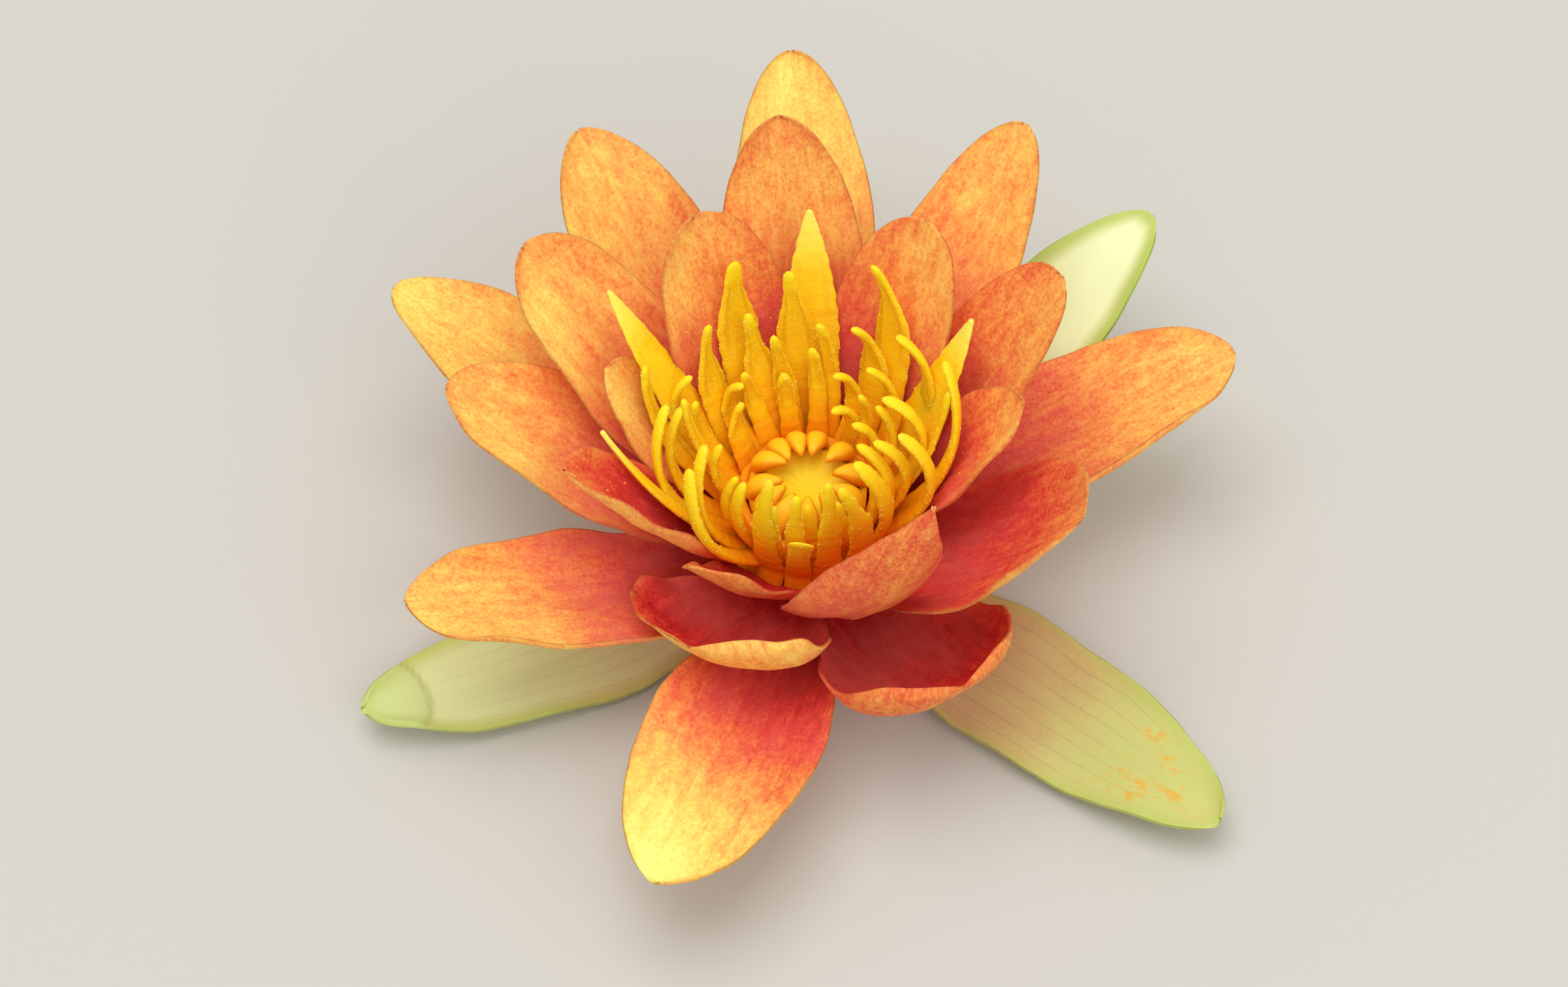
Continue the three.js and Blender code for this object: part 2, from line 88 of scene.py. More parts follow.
# One row per blade. az: azimuth it grows towards. rise, tip: slope of its midrib at base and tip. power: how
# late it curls from the one to the other, which is evenly without it. lean: sideways bend in its own plane.
# left, right: an extra fold of that edge.
SEPALS = {
    "sepal_front_right": dict(
        SEPAL, az=330.2, length=58.8, width=20, rise=-14, tip=18, lean=-16.5, base=0.52, widest=0.42),
    "sepal_front_left": dict(SEPAL, az=202, length=55, width=17.5, rise=-14, tip=16),
    "sepal_back_right": dict(SEPAL, z0=3.2, az=42.5, length=58.5, width=18, rise=17, tip=24, base=0.35),
    "sepal_back_left": dict(SEPAL, az=131, length=46, width=16, rise=-14.5, tip=12),
}
PETALS = {
    "petal_outer_back": dict(
        OUTER, r0=6.2, z0=4.8, az=89, length=60, width=19.5, rise=30, tip=38, lean=6),
    "petal_outer_back_left": dict(OUTER, r0=6.9, z0=6.6, az=125, length=55, width=20.3, rise=35, tip=40),
    "petal_outer_back_right": dict(OUTER, r0=6.9, z0=6.6, az=57, length=55, width=17.5, rise=35, tip=40),
    "petal_outer_left": dict(OUTER, r0=6.2, z0=5.0, az=153, length=57, width=18, rise=23, tip=22),
    "petal_outer_front_left": dict(
        OUTER, z0=5.4, az=207.5, length=49, width=19, rise=22.6, tip=21, lean=-15, left=-22),
    "petal_outer_front": dict(
        OUTER, r0=6.3, z0=5.0, az=256.5, length=50, width=23, rise=14, tip=11, lean=-12),
    "petal_outer_right": dict(OUTER, r0=6.3, z0=5.2, az=20, length=54, width=20.3, rise=19.4, tip=19),
    "petal_middle_back": dict(
        MIDDLE, r0=7.7, z0=8.6, az=93, length=50, width=19.2, rise=50, tip=60, lean=4),
    "petal_middle_back_left": dict(
        MIDDLE, r0=7.8, z0=8.9, az=147, length=46.5, width=19, rise=41, tip=45, point=2.4),
    "petal_middle_left": dict(MIDDLE, r0=7.4, z0=7.0, az=172, length=46, width=19.2, rise=35, tip=37),
    "petal_middle_right": dict(
        MIDDLE, r0=7.6, z0=8.5, az=335, length=41.5, width=25, rise=31, tip=62, cup=22, right=15,
        point=2.4),
    "petal_middle_front_left": dict(
        MIDDLE, r0=7.9, z0=9.6, az=247, length=24.5, width=30, rise=6, tip=80, power=1.8, lean=-18,
        cup=46, left=25, right=-30, widest=0.6, point=3.0),
    "petal_middle_front_right": dict(
        MIDDLE, r0=7.1, z0=7.0, az=300.5, length=36.5, width=28.5, rise=4, tip=77, power=1.6, lean=1,
        cup=34, left=30, right=48, widest=0.62, point=3.0),
    "petal_middle_back_right": dict(
        MIDDLE, r0=7.7, z0=8.6, az=27.5, length=44.3, width=16.5, rise=49, tip=56, point=2.6),
    "petal_inner_back_left": dict(
        INNER, r0=8.9, z0=11.8, az=119.5, length=38, width=17.7, rise=55, tip=65, point=2.6),
    "petal_inner_back_right": dict(
        INNER, r0=8.8, z0=11.7, az=58.5, length=38, width=16.8, rise=55, tip=65, point=2.4),
    "petal_inner_left": dict(
        INNER, r0=8.9, z0=11.8, az=159.6, length=28.5, width=12, rise=46.5, tip=58, left=-25),
    "petal_inner_front_left": dict(
        INNER, r0=8.2, z0=9.9, az=200, length=38, width=14, rise=48.5, tip=60, cup=45, left=40,
        right=-30),
    "petal_inner_right": dict(INNER, r0=8.8, z0=11.7, az=3, length=31.5, width=13.5, rise=52, tip=62),
    "petal_inner_front_right": dict(
        INNER, r0=8.7, z0=11.5, az=284, length=41, width=19, rise=28, tip=112, lean=28, cup=38,
        base=0.5, widest=0.4, point=0.95),
    "petal_inner_front": dict(
        INNER, r0=9.2, z0=12.3, az=247, length=19, width=12, rise=41, tip=67, lean=-52, base=0.6,
        widest=0.4, point=1.8),
}

# How flushed each petal is. fade: where along it the red of its base fades out. tip: flush at its tip,
# 0 cream, 0.3 yellow orange, 0.5 orange, 1 crimson. rim: flush of its edge. back: flush of its outside.
# pink: how much rose shows in the red. slant: how much more flushed its left half is. cap: extra flush of
# the last few millimetres. roll: how far the last millimetre of its left and right edge curls up, degrees.
# dust: how thick pollen lies on it. clump: how thick pollen sticks to its very tip.
EVEN_FLUSH = dict(slant=0, cap=0, roll=(0, 0), dust=0, clump=0)
FLUSH = {
    "petal_outer_back": dict(
        fade=(0.1, 0.75), tip=0.2, rim=0.36, back=0.35, pink=0.5, slant=-0.04, cap=-0.04),
    "petal_outer_back_left": dict(
        fade=(0.15, 0.8), tip=0.33, rim=0.42, back=0.4, pink=0.7, slant=-0.08, cap=0.04),
    "petal_outer_back_right": dict(fade=(0.15, 0.8), tip=0.36, rim=0.46, back=0.4, pink=0.5, slant=0.04),
    "petal_outer_left": dict(
        fade=(0.15, 0.8), tip=0.26, rim=0.34, back=0.3, pink=0.3, slant=-0.08, cap=-0.12),
    "petal_outer_front_left": dict(
        fade=(0.15, 0.85), tip=0.33, rim=0.44, back=0.4, pink=0.8, slant=-0.06, cap=-0.04,
        roll=(95, 0)),
    "petal_outer_front": dict(
        fade=(0.22, 1.02), tip=0.06, rim=0.36, back=0.35, pink=0.4, slant=0.14, cap=-0.14),
    "petal_outer_right": dict(
        fade=(0.15, 0.85), tip=0.38, rim=0.46, back=0.36, pink=0.5, slant=0.06, roll=(0, 95)),
    "petal_middle_back": dict(
        fade=(0.12, 0.75), tip=0.4, rim=0.5, back=0.45, pink=0.8, slant=0.02, cap=0.06),
    "petal_middle_back_left": dict(
        fade=(0.15, 0.8), tip=0.33, rim=0.44, back=0.45, pink=0.6, slant=-0.08, cap=0.04),
    "petal_middle_left": dict(fade=(0.12, 0.8), tip=0.34, rim=0.42, back=0.45, pink=0.8, slant=-0.1),
    "petal_middle_right": dict(
        fade=(0.35, 1.05), tip=0.55, rim=0.5, back=0.42, pink=0.5, slant=0.02, cap=-0.04),
    "petal_middle_front_left": dict(fade=(0.5, 1.35), tip=0.62, rim=0.5, back=0.34, pink=0.5),
    "petal_middle_front_right": dict(fade=(0.5, 1.4), tip=0.7, rim=0.52, back=0.56, pink=0.6),
    "petal_middle_back_right": dict(
        fade=(0.15, 0.85), tip=0.48, rim=0.54, back=0.45, pink=0.7, slant=0.12),
    "petal_inner_back_left": dict(
        fade=(0.15, 0.9), tip=0.41, rim=0.5, back=0.5, pink=0.6, slant=-0.14, dust=0.01),
    "petal_inner_back_right": dict(
        fade=(0.15, 0.9), tip=0.43, rim=0.5, back=0.5, pink=0.6, slant=0.12, dust=0.01),
    "petal_inner_left": dict(
        fade=(0.1, 0.7), tip=0.34, rim=0.42, back=0.45, pink=0.5, slant=-0.06, dust=0.01),
    "petal_inner_front_left": dict(fade=(0.45, 1.3), tip=0.52, rim=0.45, back=0.42, pink=0.4, dust=0.03),
    "petal_inner_right": dict(
        fade=(0.25, 1.0), tip=0.44, rim=0.5, back=0.5, pink=0.6, slant=0.08, dust=0.01),
    "petal_inner_front_right": dict(
        fade=(0.4, 1.2), tip=0.6, rim=0.6, back=0.62, pink=0.5, dust=0.004, clump=2.5),
    "petal_inner_front": dict(fade=(0.3, 1.0), tip=0.45, rim=0.5, back=0.5, pink=0.4, dust=0.01),
}

# Each sepal. blush: how rosy its base is. start: where along it the rose begins to fade. lime: how green its
# margins are. margin: how wide they are. pale: how pale its middle is. rust: how many rusty blotches it has.
# flap: the length of its tip that is folded back over its face.
SEPAL_LOOKS = {
    "sepal_front_right": dict(blush=1.0, start=0.3, lime=0.4, rust=1.0, pale=0.1, flap=0, margin=1.0),
    "sepal_front_left": dict(blush=0.75, start=0.2, lime=0.35, rust=0.12, pale=0.62, flap=9.3, margin=1.0),
    "sepal_back_right": dict(blush=0.0, start=0.2, lime=1.0, rust=0.0, pale=1.0, flap=0, margin=1.3),
    "sepal_back_left": dict(blush=0.5, start=0.15, lime=0.7, rust=0.3, pale=0.0, flap=0, margin=1.2),
}

# ---- stamens: where each row stands on the collar, as radius and height of the feet ----
STAMEN_ROWS = {"outer": (9.2, 15.8), "middle": (8.9, 17.6), "inner": (8.5, 19.4)}
# One line per stamen: row, azimuth of the foot, azimuth of the tip, reach (how far from the middle the tip
# stands), height of the tip, width of the strap, width of the finger at its end, hook (degrees that it turns
# inwards on its way up), kind, and power (how late it turns).
STAMENS = (
    ("outer", 154, 147, 29, 41, 4.8, 1.6, -8, "petal", 1.8),
    ("outer", 141, 132, 18, 37, 4.4, 1.6, 38, "strap", 3),
    ("outer", 120, 114, 22, 41, 5.7, 2.6, 30, "strap", 3),
    ("outer", 93, 97, 19.5, 40, 4.9, 2.0, 18, "strap", 3),
    ("outer", 88, 89.5, 27, 42.6, 6.0, 1.6, 2, "petal", 1.8),
    ("middle", 113, 115, 17.5, 36, 4.2, 1.7, 20, "strap", 3),
    ("middle", 101, 107, 14.5, 34, 3.0, 1.5, 20, "strap", 3),
    ("inner", 103, 105, 11.5, 30, 2.4, 1.8, 15, "strap", 2),
    ("inner", 122, 127, 13, 31, 2.6, 1.4, 40, "strap", 2.5),
    ("inner", 137, 131, 12, 30, 3.0, 1.3, 120, "strap", 2.5),
    ("inner", 146, 136, 11, 28.5, 3.2, 1.5, 60, "strap", 2.5),
    ("outer", 168, 157, 21.5, 35.5, 3.4, 1.8, 48, "strap", 2.2),
    ("middle", 162, 149, 16.5, 33, 3.0, 1.5, 105, "strap", 2.5),
    ("outer", 197, 168, 17.5, 34, 2.6, 1.8, 108, "strap", 1.8),
    ("outer", 186, 163, 16, 32, 2.5, 1.6, 98, "strap", 1.8),
    ("middle", 158, 156, 15, 31, 2.8, 1.5, 50, "strap", 2.5),
    ("inner", 172, 161, 16, 33, 2.2, 1.4, 30, "strap", 2),
    ("outer", 226, 204, 15.5, 35, 2.7, 2.0, 88, "strap", 1.6),
    ("outer", 214, 190, 12.5, 34, 2.4, 1.7, 95, "strap", 1.6),
    ("inner", 184, 178, 10.5, 30, 2.8, 1.6, 70, "strap", 2),
    ("middle", 205, 207, 9.5, 30, 2.0, 1.3, 65, "strap", 1.8),
    ("middle", 218, 217, 9.5, 31, 2.3, 1.6, 55, "strap", 1.8),
    ("outer", 240, 241, 9.2, 35, 3.4, 1.7, 35, "strap", 1.8),
    ("middle", 246, 246, 10, 31, 1.8, 1.2, 20, "strap", 1.8),
    ("middle", 261, 262, 9.1, 33, 2.5, 1.5, 30, "strap", 1.8),
    ("inner", 273, 270, 7, 28, 1.9, 1.4, 20, "strap", 1.8),
    ("outer", 285, 286, 8.8, 35, 3.0, 1.6, 30, "strap", 1.8),
    ("outer", 310, 294, 9.4, 34, 3.6, 1.7, 45, "strap", 1.8),
    ("outer", 331, 323, 7, 33, 3.0, 2.2, 80, "strap", 1.8),
    ("middle", 346, 364, 6, 30, 2.3, 1.6, 105, "strap", 1.8),
    ("middle", 352, 356, 8, 32, 2.4, 1.7, 110, "strap", 1.8),
    ("outer", 345, 356, 11, 34, 2.8, 2.0, 118, "strap", 1.8),
    ("inner", 24, 39, 7, 28.5, 2.4, 1.5, 90, "strap", 2),
    ("inner", 17, 33, 10, 31, 2.4, 1.5, 75, "strap", 2),
    ("inner", 44, 50, 10, 30, 2.2, 1.4, 50, "strap", 2),
    ("middle", 5, 30, 10.5, 33, 2.6, 1.9, 135, "strap", 2),
    ("middle", 34, 53, 12, 33, 2.8, 1.5, 95, "strap", 2),
    ("middle", 22, 49, 16.5, 36, 3.4, 2.0, 108, "strap", 2.2),
    ("middle", 53, 68, 14.5, 36, 4.2, 1.7, 85, "strap", 2.5),
    ("outer", 47, 68, 21, 41, 5.5, 1.9, 55, "strap", 3.2),
    ("outer", 26, 33, 24, 38.8, 5.2, 1.4, 4, "petal", 1.8),
    ("outer", 352, 386, 18.5, 37, 2.8, 2.0, 90, "strap", 1.8),
    ("inner", 58, 73, 11, 30, 2.6, 1.4, 110, "strap", 2.5),
    ("inner", 52, 67, 7.5, 27.5, 2.6, 1.4, 115, "strap", 2.5),
    ("middle", 74, 85, 15, 35, 2.6, 1.8, 35, "strap", 3),
    ("inner", 82, 88, 13.5, 32, 2.3, 1.6, 25, "strap", 3),
    ("outer", 263, 267, 12.2, 27.4, 2.9, 2.4, 0, "blunt", 1.8),
    ("outer", 205, 181, 25, 34.5, 2.2, 1.4, 20, "petal", 1.2),
    ("outer", 6, 16, 18, 35, 3.4, 1.5, 20, "strap", 1.8),
    ("inner", 300, 298, 7.5, 28, 2.0, 1.4, 30, "strap", 1.8),
    ("inner", 330, 338, 8.5, 27, 2.2, 1.4, 60, "strap", 1.8),
    ("inner", 228, 226, 8, 27, 2.0, 1.4, 40, "strap", 1.8),
)
# Azimuths of the styles, the carpel tips that bend in over the disc.
STYLES = (8, 45, 79, 103, 126, 153, 187, 213, 240, 270, 303, 335)

# A band round the disc holds the styles, and a collar round the band holds the stamens. The outer stamens run
# on down to their roots, outside the collar.
STYLE_LENGTH = 5.5
STYLE_HALF_WIDTH = 1.45
STYLE_FOOT_RADIUS = 6.9
STYLE_BAND_RADIUS = 7.4
STYLE_BAND_TOP = 21.5
COLLAR_RADIUS = 9.8
COLLAR_BASE = 14.8
COLLAR_TOP = 20.4
COLLAR_TAPER = 1.1  # how much smaller its radius is at its top
ROOT_RADIUS = 10.1
ROOT_HEIGHT = 13.2
SEAT_GAP = 0.3  # left between the collar, the band and the disc
RING_SIDES = 96
STALK_SIDES = 72
STYLE_SIDES = 24
# The receptacle's outline from the cut face of the stalk to its top, as radius and height.
RECEPTACLE = (
    (0, 0.0), (4.3, 0.0), (4.6, 0.25), (4.6, 2.2), (4.9, 3.5), (5.7, 5.5), (6.5, 8.0), (7.2, 10.2),
    (8.4, 12.6), (9.0, 13.6), (9.0, 14.3), (8.8, 14.5), (0, 14.5),
)

# ---- the disc: a shallow bowl whose rim turns down, with a soft ray between each two styles ----
DISC_RINGS = 44
DISC_SIDES = 168
BOWL_RADIUS = 5.2
BOWL_DEPTH = 0.95
BOWL_EDGE = 0.15  # how far the bowl's edge lies under the disc's top
RIM_START = 5.3
RIM_DROP = 0.75
RAY_WIDTH = 8.5  # degrees
RAY_HEIGHT = 0.07

# ---- the picture: its size in pixels, where the heart of the flower falls in it, and the focal length ----
PICTURE = (2408, 1515)
HEART_PIXEL = (1240, 770)
FOCAL_PIXELS = 5658
SENSOR_WIDTH = 36  # millimetres
HEART_HEIGHT = 18  # over the surface that the flower rests on

FLOOR_REACH = 1.5  # metres from the middle of the floor to its edges
FILL_SHARE = 0.34  # power of the fill light, as a share of the overhead light's

# ---- what keeps random draws and noise apart ----
PETAL_SEED = 10
SEPAL_SEED = 100
STYLE_SEED = 60
EDGE_SEED = 1000  # added to a blade's own seed
ANY_PHASE = 6.3  # radians, a full turn and a little more
BLADE_NOISE_STEP = 17.3
STAMEN_NOISE_STEP = 7.7  # for the styles too


# ---------------------------------------------------------------- plain helpers
def linear(hex_colour):
    """An sRGB hex colour such as "#FFC814" as linear RGBA."""
    channels = [int(hex_colour[i : i + 2], 16) / 255 for i in (1, 3, 5)]
    return (*[c / 12.92 if c <= 0.04045 else ((c + 0.055) / 1.055) ** 2.4 for c in channels], 1.0)


def smooth(t):
    """Rises softly from 0 to 1 while t does."""
    t = np.clip(t, 0, 1)
    return t * t * (3 - 2 * t)


def crowded(steps, power):
    """Shares from 0 to 1 that lie closer together towards 1."""
    return 1 - (1 - np.linspace(0, 1, steps + 1)) ** power


def place_at(az, radius, height):
    """The point at an azimuth in degrees, a radius and a height."""
    turn = math.radians(az)
    return np.array([radius * math.cos(turn), radius * math.sin(turn), height])


def about_axis(points):
    """Millimetres about the flower's axis as metres in the frame."""
    return (np.asarray(points) + np.array([AXIS.x, AXIS.y, 0])) * MM


def add_node(tree, kind, inputs=None, stops=None, **settings):
    """Adds a node. inputs maps a socket's name or number to a value, to another node's socket, or to a node,
    which stands for its first output in use."""
    node = tree.nodes.new(kind)
    for key, value in settings.items():
        setattr(node, key, value)
    for k, (position, colour) in enumerate(stops or []):
        ramp = node.color_ramp.elements
        stop = ramp[k] if k < 2 else ramp.new(position)
        stop.position, stop.color = position, colour
    for key, value in (inputs or {}).items():
        if isinstance(value, bpy.types.Node):
            value = next(output for output in value.outputs if output.enabled)
        if isinstance(value, bpy.types.NodeSocket):
            tree.links.new(value, node.inputs[key])
        else:
            node.inputs[key].default_value = value
    return node


def new_material(name, **shader_values):
    """A material with an empty tree, and its one Principled shader with the given plain values."""
    material = bpy.data.materials.new(name)
    material.use_nodes = True
    tree = material.node_tree
    tree.nodes.clear()
    shader = add_node(tree, "ShaderNodeBsdfPrincipled", shader_values)
    add_node(tree, "ShaderNodeOutputMaterial", {"Surface": shader.outputs[0]})
    return material, tree, shader


def store_values(mesh, name, values):
    """Keeps a number or a vector for each point of a mesh."""
    values = np.asarray(values, np.float32)
    kind, field = ("FLOAT_VECTOR", "vector") if values.ndim == 2 else ("FLOAT", "value")
    mesh.attributes.new(name, kind, "POINT").data.foreach_set(field, values.ravel())


def read_values(piece, name):
    """The number that a piece's mesh keeps for each point."""
    values = np.zeros(len(piece.data.vertices), np.float32)
    piece.data.attributes[name].data.foreach_get("value", values)
    return values


def new_piece(name, points, faces, attributes=None):
    """A mesh object from points in metres, with numbers or vectors kept for its points."""
    mesh = bpy.data.meshes.new(name)
    mesh.from_pydata([tuple(p) for p in points], [], faces)
    mesh.validate()
    for key, values in (attributes or {}).items():
        store_values(mesh, key, values)
    mesh.shade_smooth()
    piece = bpy.data.objects.new(name, mesh)
    bpy.context.scene.collection.objects.link(piece)
    return piece


def dress(piece, material, slot, *nodes):
    """Gives a piece its material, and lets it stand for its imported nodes."""
    if material is not None:
        piece.data.materials.clear()
        piece.data.materials.append(material)
    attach(piece, BODY)
    if nodes:
        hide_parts(*nodes)


def bake_nodes(name, guide, tree, values):
    """Runs a geometry tree on a guide object with the named inputs, and keeps the result as a plain mesh."""
    modifier = guide.modifiers.new("build", "NODES")
    modifier.node_group = tree
    for item in tree.interface.items_tree:
        if item.item_type == "SOCKET" and item.in_out == "INPUT" and item.name in values:
            modifier[item.identifier] = values[item.name]
    bpy.context.view_layer.update()
    evaluated = guide.evaluated_get(bpy.context.evaluated_depsgraph_get())
    mesh = bpy.data.meshes.new_from_object(evaluated)
    mesh.name = name
    guide_data = guide.data
    bpy.data.objects.remove(guide)
    bpy.data.meshes.remove(guide_data)
    piece = bpy.data.objects.new(name, mesh)
    bpy.context.scene.collection.objects.link(piece)
    return piece


# ---------------------------------------------------------------- blades
BLADE_ROWS = 72  # steps along a blade
BLADE_COLUMNS = 36  # steps across a blade
TIP_HALF = 0.3  # half the width that is left at the very tip
MIDRIB_STEPS = 128  # steps that add up to the curve of a midrib
SECTION_STEPS = 24  # steps that add up to the curve from the midrib to an edge
RIB_SPACING = 1.15  # between the fine ribs that run along a blade
TROUGH_DEPTH = 0.28  # of the soft trough over the midrib
FLAP_HEIGHT = 0.4  # of a folded tip over the face that it lies on
RIM_REACH = 0.45  # how far the rim stands out, as a share of the thickness
RIM_OUTSIDE = 0.35  # how much the rim takes of the look of the outside
FOOT_FLUSH = 0.93  # of a petal's inside at its foot
FOOT_FLUSH_OUTSIDE = 0.85


def half_width(b, u):
    """Half the width of a blade at u, 0 at its base and 1 at its tip."""
    rise = b["base"] + (1 - b["base"]) * np.sin(np.minimum(u / b["widest"], 1) * math.pi / 2) ** 1.35
    t = np.maximum(0, (u - b["widest"]) / (1 - b["widest"]))
    fall = np.maximum(0, 1 - t**2.1) ** (1 / b["point"])
    return np.maximum(b["width"] / 2 * np.where(u < b["widest"], rise, fall), TIP_HALF)


def midrib_frame(b, u):
    """Direction of the midrib at each u, the side direction there, and the normal of the upper face."""
    az = math.radians(b["az"])
    slope = np.radians(b["rise"] + (b["tip"] - b["rise"]) * u ** b.get("power", 1))
    lean = np.radians(b.get("lean", 0)) * u
    out = np.stack([np.cos(slope) * math.cos(az), np.cos(slope) * math.sin(az), np.sin(slope)], -1)
    across = np.array([-math.sin(az), math.cos(az), 0.0])
    along = np.cos(lean)[:, None] * out + np.sin(lean)[:, None] * across
    side = np.cos(lean)[:, None] * across - np.sin(lean)[:, None] * out
    normal = np.cross(along, side)
    return along, side, normal / np.linalg.norm(normal, axis=1, keepdims=True)


def midrib_points(b, root, u):
    """Points of the midrib at each u, in millimetres, about the flower's axis."""
    middles = (np.arange(MIDRIB_STEPS) + 0.5) / MIDRIB_STEPS
    steps = midrib_frame(b, middles)[0] * b["length"] / MIDRIB_STEPS
    points = np.vstack([root, root + np.cumsum(steps, 0)])
    knots = np.linspace(0, 1, MIDRIB_STEPS + 1)
    return np.stack([np.interp(u, knots, points[:, k]) for k in range(3)], -1)


def blade_section(b, u, v, half, roll):
    """How far across and up a blade's section reaches at each u and v."""
    q = (np.arange(SECTION_STEPS) + 0.5) / SECTION_STEPS
    fade = smooth(u / 0.35)
    curl_fade = smooth((u - 0.2) / 0.2) * (1 - smooth((u - 0.82) / 0.12))
    across, up = np.zeros((len(u), len(v))), np.zeros((len(u), len(v)))
    for j, w in enumerate(v):
        fold = b.get("left", 0) if w > 0 else b.get("right", 0)
        curl = roll[0] if w > 0 else roll[1]
        r = q * abs(w)
        turn = b["cup"] * np.outer(0.55 + 0.45 * fade, r) + fold * np.outer(fade, r**3)
        turn = np.radians(turn + curl * np.outer(curl_fade, smooth((r - 0.86) / 0.12)))
        across[:, j] = np.cos(turn).mean(1) * half * w
        up[:, j] = np.sin(turn).mean(1) * half * abs(w)
    return across, up


def blade_relief(b, u, v, half, seed):
    """Soft waves of a blade's surface, in millimetres: broad swells, a wavy edge and the midrib's trough."""
    draw = np.random.default_rng(seed)
    length = b["length"]
    x, y = np.outer(half, v), np.outer(u * length, np.ones_like(v))
    relief = np.zeros_like(x)
    for size, height in ((22, 0.28), (13, 0.16), (7, 0.07)):
        for _ in range(3):
            turn, shift = draw.uniform(0, 2 * math.pi, 2)
            reach = x * math.cos(turn) * 1.6 + y * math.sin(turn)
            relief += height / 3 * np.sin(2 * math.pi / size * reach + shift)
    swells = draw.uniform(2.0, 3.6)
    for sign in (-1, 1):
        shift = draw.uniform(0, 2 * math.pi)
        edge = np.maximum(0, sign * v) ** 3
        relief += 0.38 * np.outer(np.sin(2 * math.pi * swells * u + shift) * smooth(u / 0.4), edge)
    in_trough = smooth(u / 0.15) * (1 - smooth((u - 0.55) / 0.4))
    trough = np.exp(-((x / 1.1) ** 2)) * np.outer(in_trough, np.ones_like(v))
    return relief * np.outer(smooth(u / 0.3), np.ones_like(v)) - TROUGH_DEPTH * trough


def ragged_half_width(b, u, seed):
    """Half the width of a blade at each u, with the slow waves of a grown edge."""
    draw = np.random.default_rng(seed + EDGE_SEED)
    ragged = np.zeros_like(u)
    for waves in (3.1, 5.3, 9.7):
        ragged += 0.10 / waves**0.5 * np.sin(2 * math.pi * waves * u + draw.uniform(0, ANY_PHASE))
    return half_width(b, u) + ragged * smooth(u / 0.3) * smooth((1 - u) / 0.12)


def blade_thickness(u, v, at_base, at_middle, at_edge):
    """Thickness of a blade at each u and v. It thins out of its base, and again to its edges and its tip."""
    body = at_middle + (at_base - at_middle) * (1 - smooth(u / 0.45))
    to_edges = np.outer(np.ones_like(u), v**4)
    to_tip = np.outer(smooth((u - 0.75) / 0.25), np.ones_like(v))
    thinned = np.maximum(to_edges, to_tip)
    return body[:, None] * (1 - thinned) + at_edge * thinned


def blade_ribs(u, v, half, height):
    """Height of the fine ribs at each u and v. They fade at the base, at the edges and at the tip."""
    ribs = height * np.cos(2 * math.pi * np.outer(half, v) / RIB_SPACING)
    ribs = ribs * (1 - np.abs(v) ** 4) * smooth(u / 0.1)[:, None]
    return ribs * smooth((1 - u) / 0.15)[:, None]


def blade_lap(b, u, v, flap):
    """1 where a folded tip lies on the face, and 0 elsewhere. Its round end points back to the base."""
    if not flap:
        return np.zeros((len(u), len(v)))
    start = b["length"] - flap + 2.4 * v**2
    return smooth((np.outer(u * b["length"], np.ones_like(v)) - start[None, :]) / 1.3)


def outline_loop():
    """Numbers of the grid's points round the outline of a blade."""
    columns = BLADE_COLUMNS + 1
    loop = list(range(BLADE_COLUMNS))
    loop += [i * columns + BLADE_COLUMNS for i in range(BLADE_ROWS)]
    loop += [BLADE_ROWS * columns + j for j in range(BLADE_COLUMNS, 0, -1)]
    loop += [i * columns for i in range(BLADE_ROWS, 0, -1)]
    return loop


def rim_points(middle, face, thick, loop):
    """A point outside each point of the outline, which rounds the edge off."""
    ring = middle.reshape(-1, 3)[loop]
    ahead = np.roll(ring, -1, 0) - np.roll(ring, 1, 0)
    outward = np.cross(ahead, face.reshape(-1, 3)[loop])
    outward /= np.maximum(np.linalg.norm(outward, axis=1, keepdims=True), 1e-9)
    return ring + outward * (thick.reshape(-1)[loop] * RIM_REACH)[:, None]


def blade_faces(loop, count):
    """Quads of the upper face, of the lower face and of the rim between them. count: points of one face."""
    columns = BLADE_COLUMNS + 1
    faces = []
    for i in range(BLADE_ROWS):
        for j in range(BLADE_COLUMNS):
            a = i * columns + j
            c = a + columns
            faces.append((a, c, c + 1, a + 1))
            faces.append((a + count, a + 1 + count, c + 1 + count, c + count))
    for k, a in enumerate(loop):
        n = (k + 1) % len(loop)
        faces.append((a, loop[n], 2 * count + n, 2 * count + k))
        faces.append((2 * count + k, 2 * count + n, loop[n] + count, a + count))
    return faces


def blade_plane(b, u, v, half, lap, loop):
    """Where each point lies on the blade laid flat: on the upper face, on the lower face and on the rim."""
    u_all = np.repeat(u, len(v))
    v_all = np.tile(v, len(u))
    half_all = np.repeat(half, len(v))
    edge = np.minimum((1 - np.abs(v_all)) * half_all, (1 - u_all) * b["length"])
    plane = dict(
        u=u_all, v=v_all, edge=edge, x=v_all * half_all, y=u_all * b["length"], half=half_all,
        lap=lap.ravel())
    plane = {key: np.concatenate([values, values, values[loop]]) for key, values in plane.items()}
    count = len(u_all)
    plane["outside"] = np.concatenate([np.zeros(count), np.ones(count), np.full(len(loop), RIM_OUTSIDE)])
    return plane


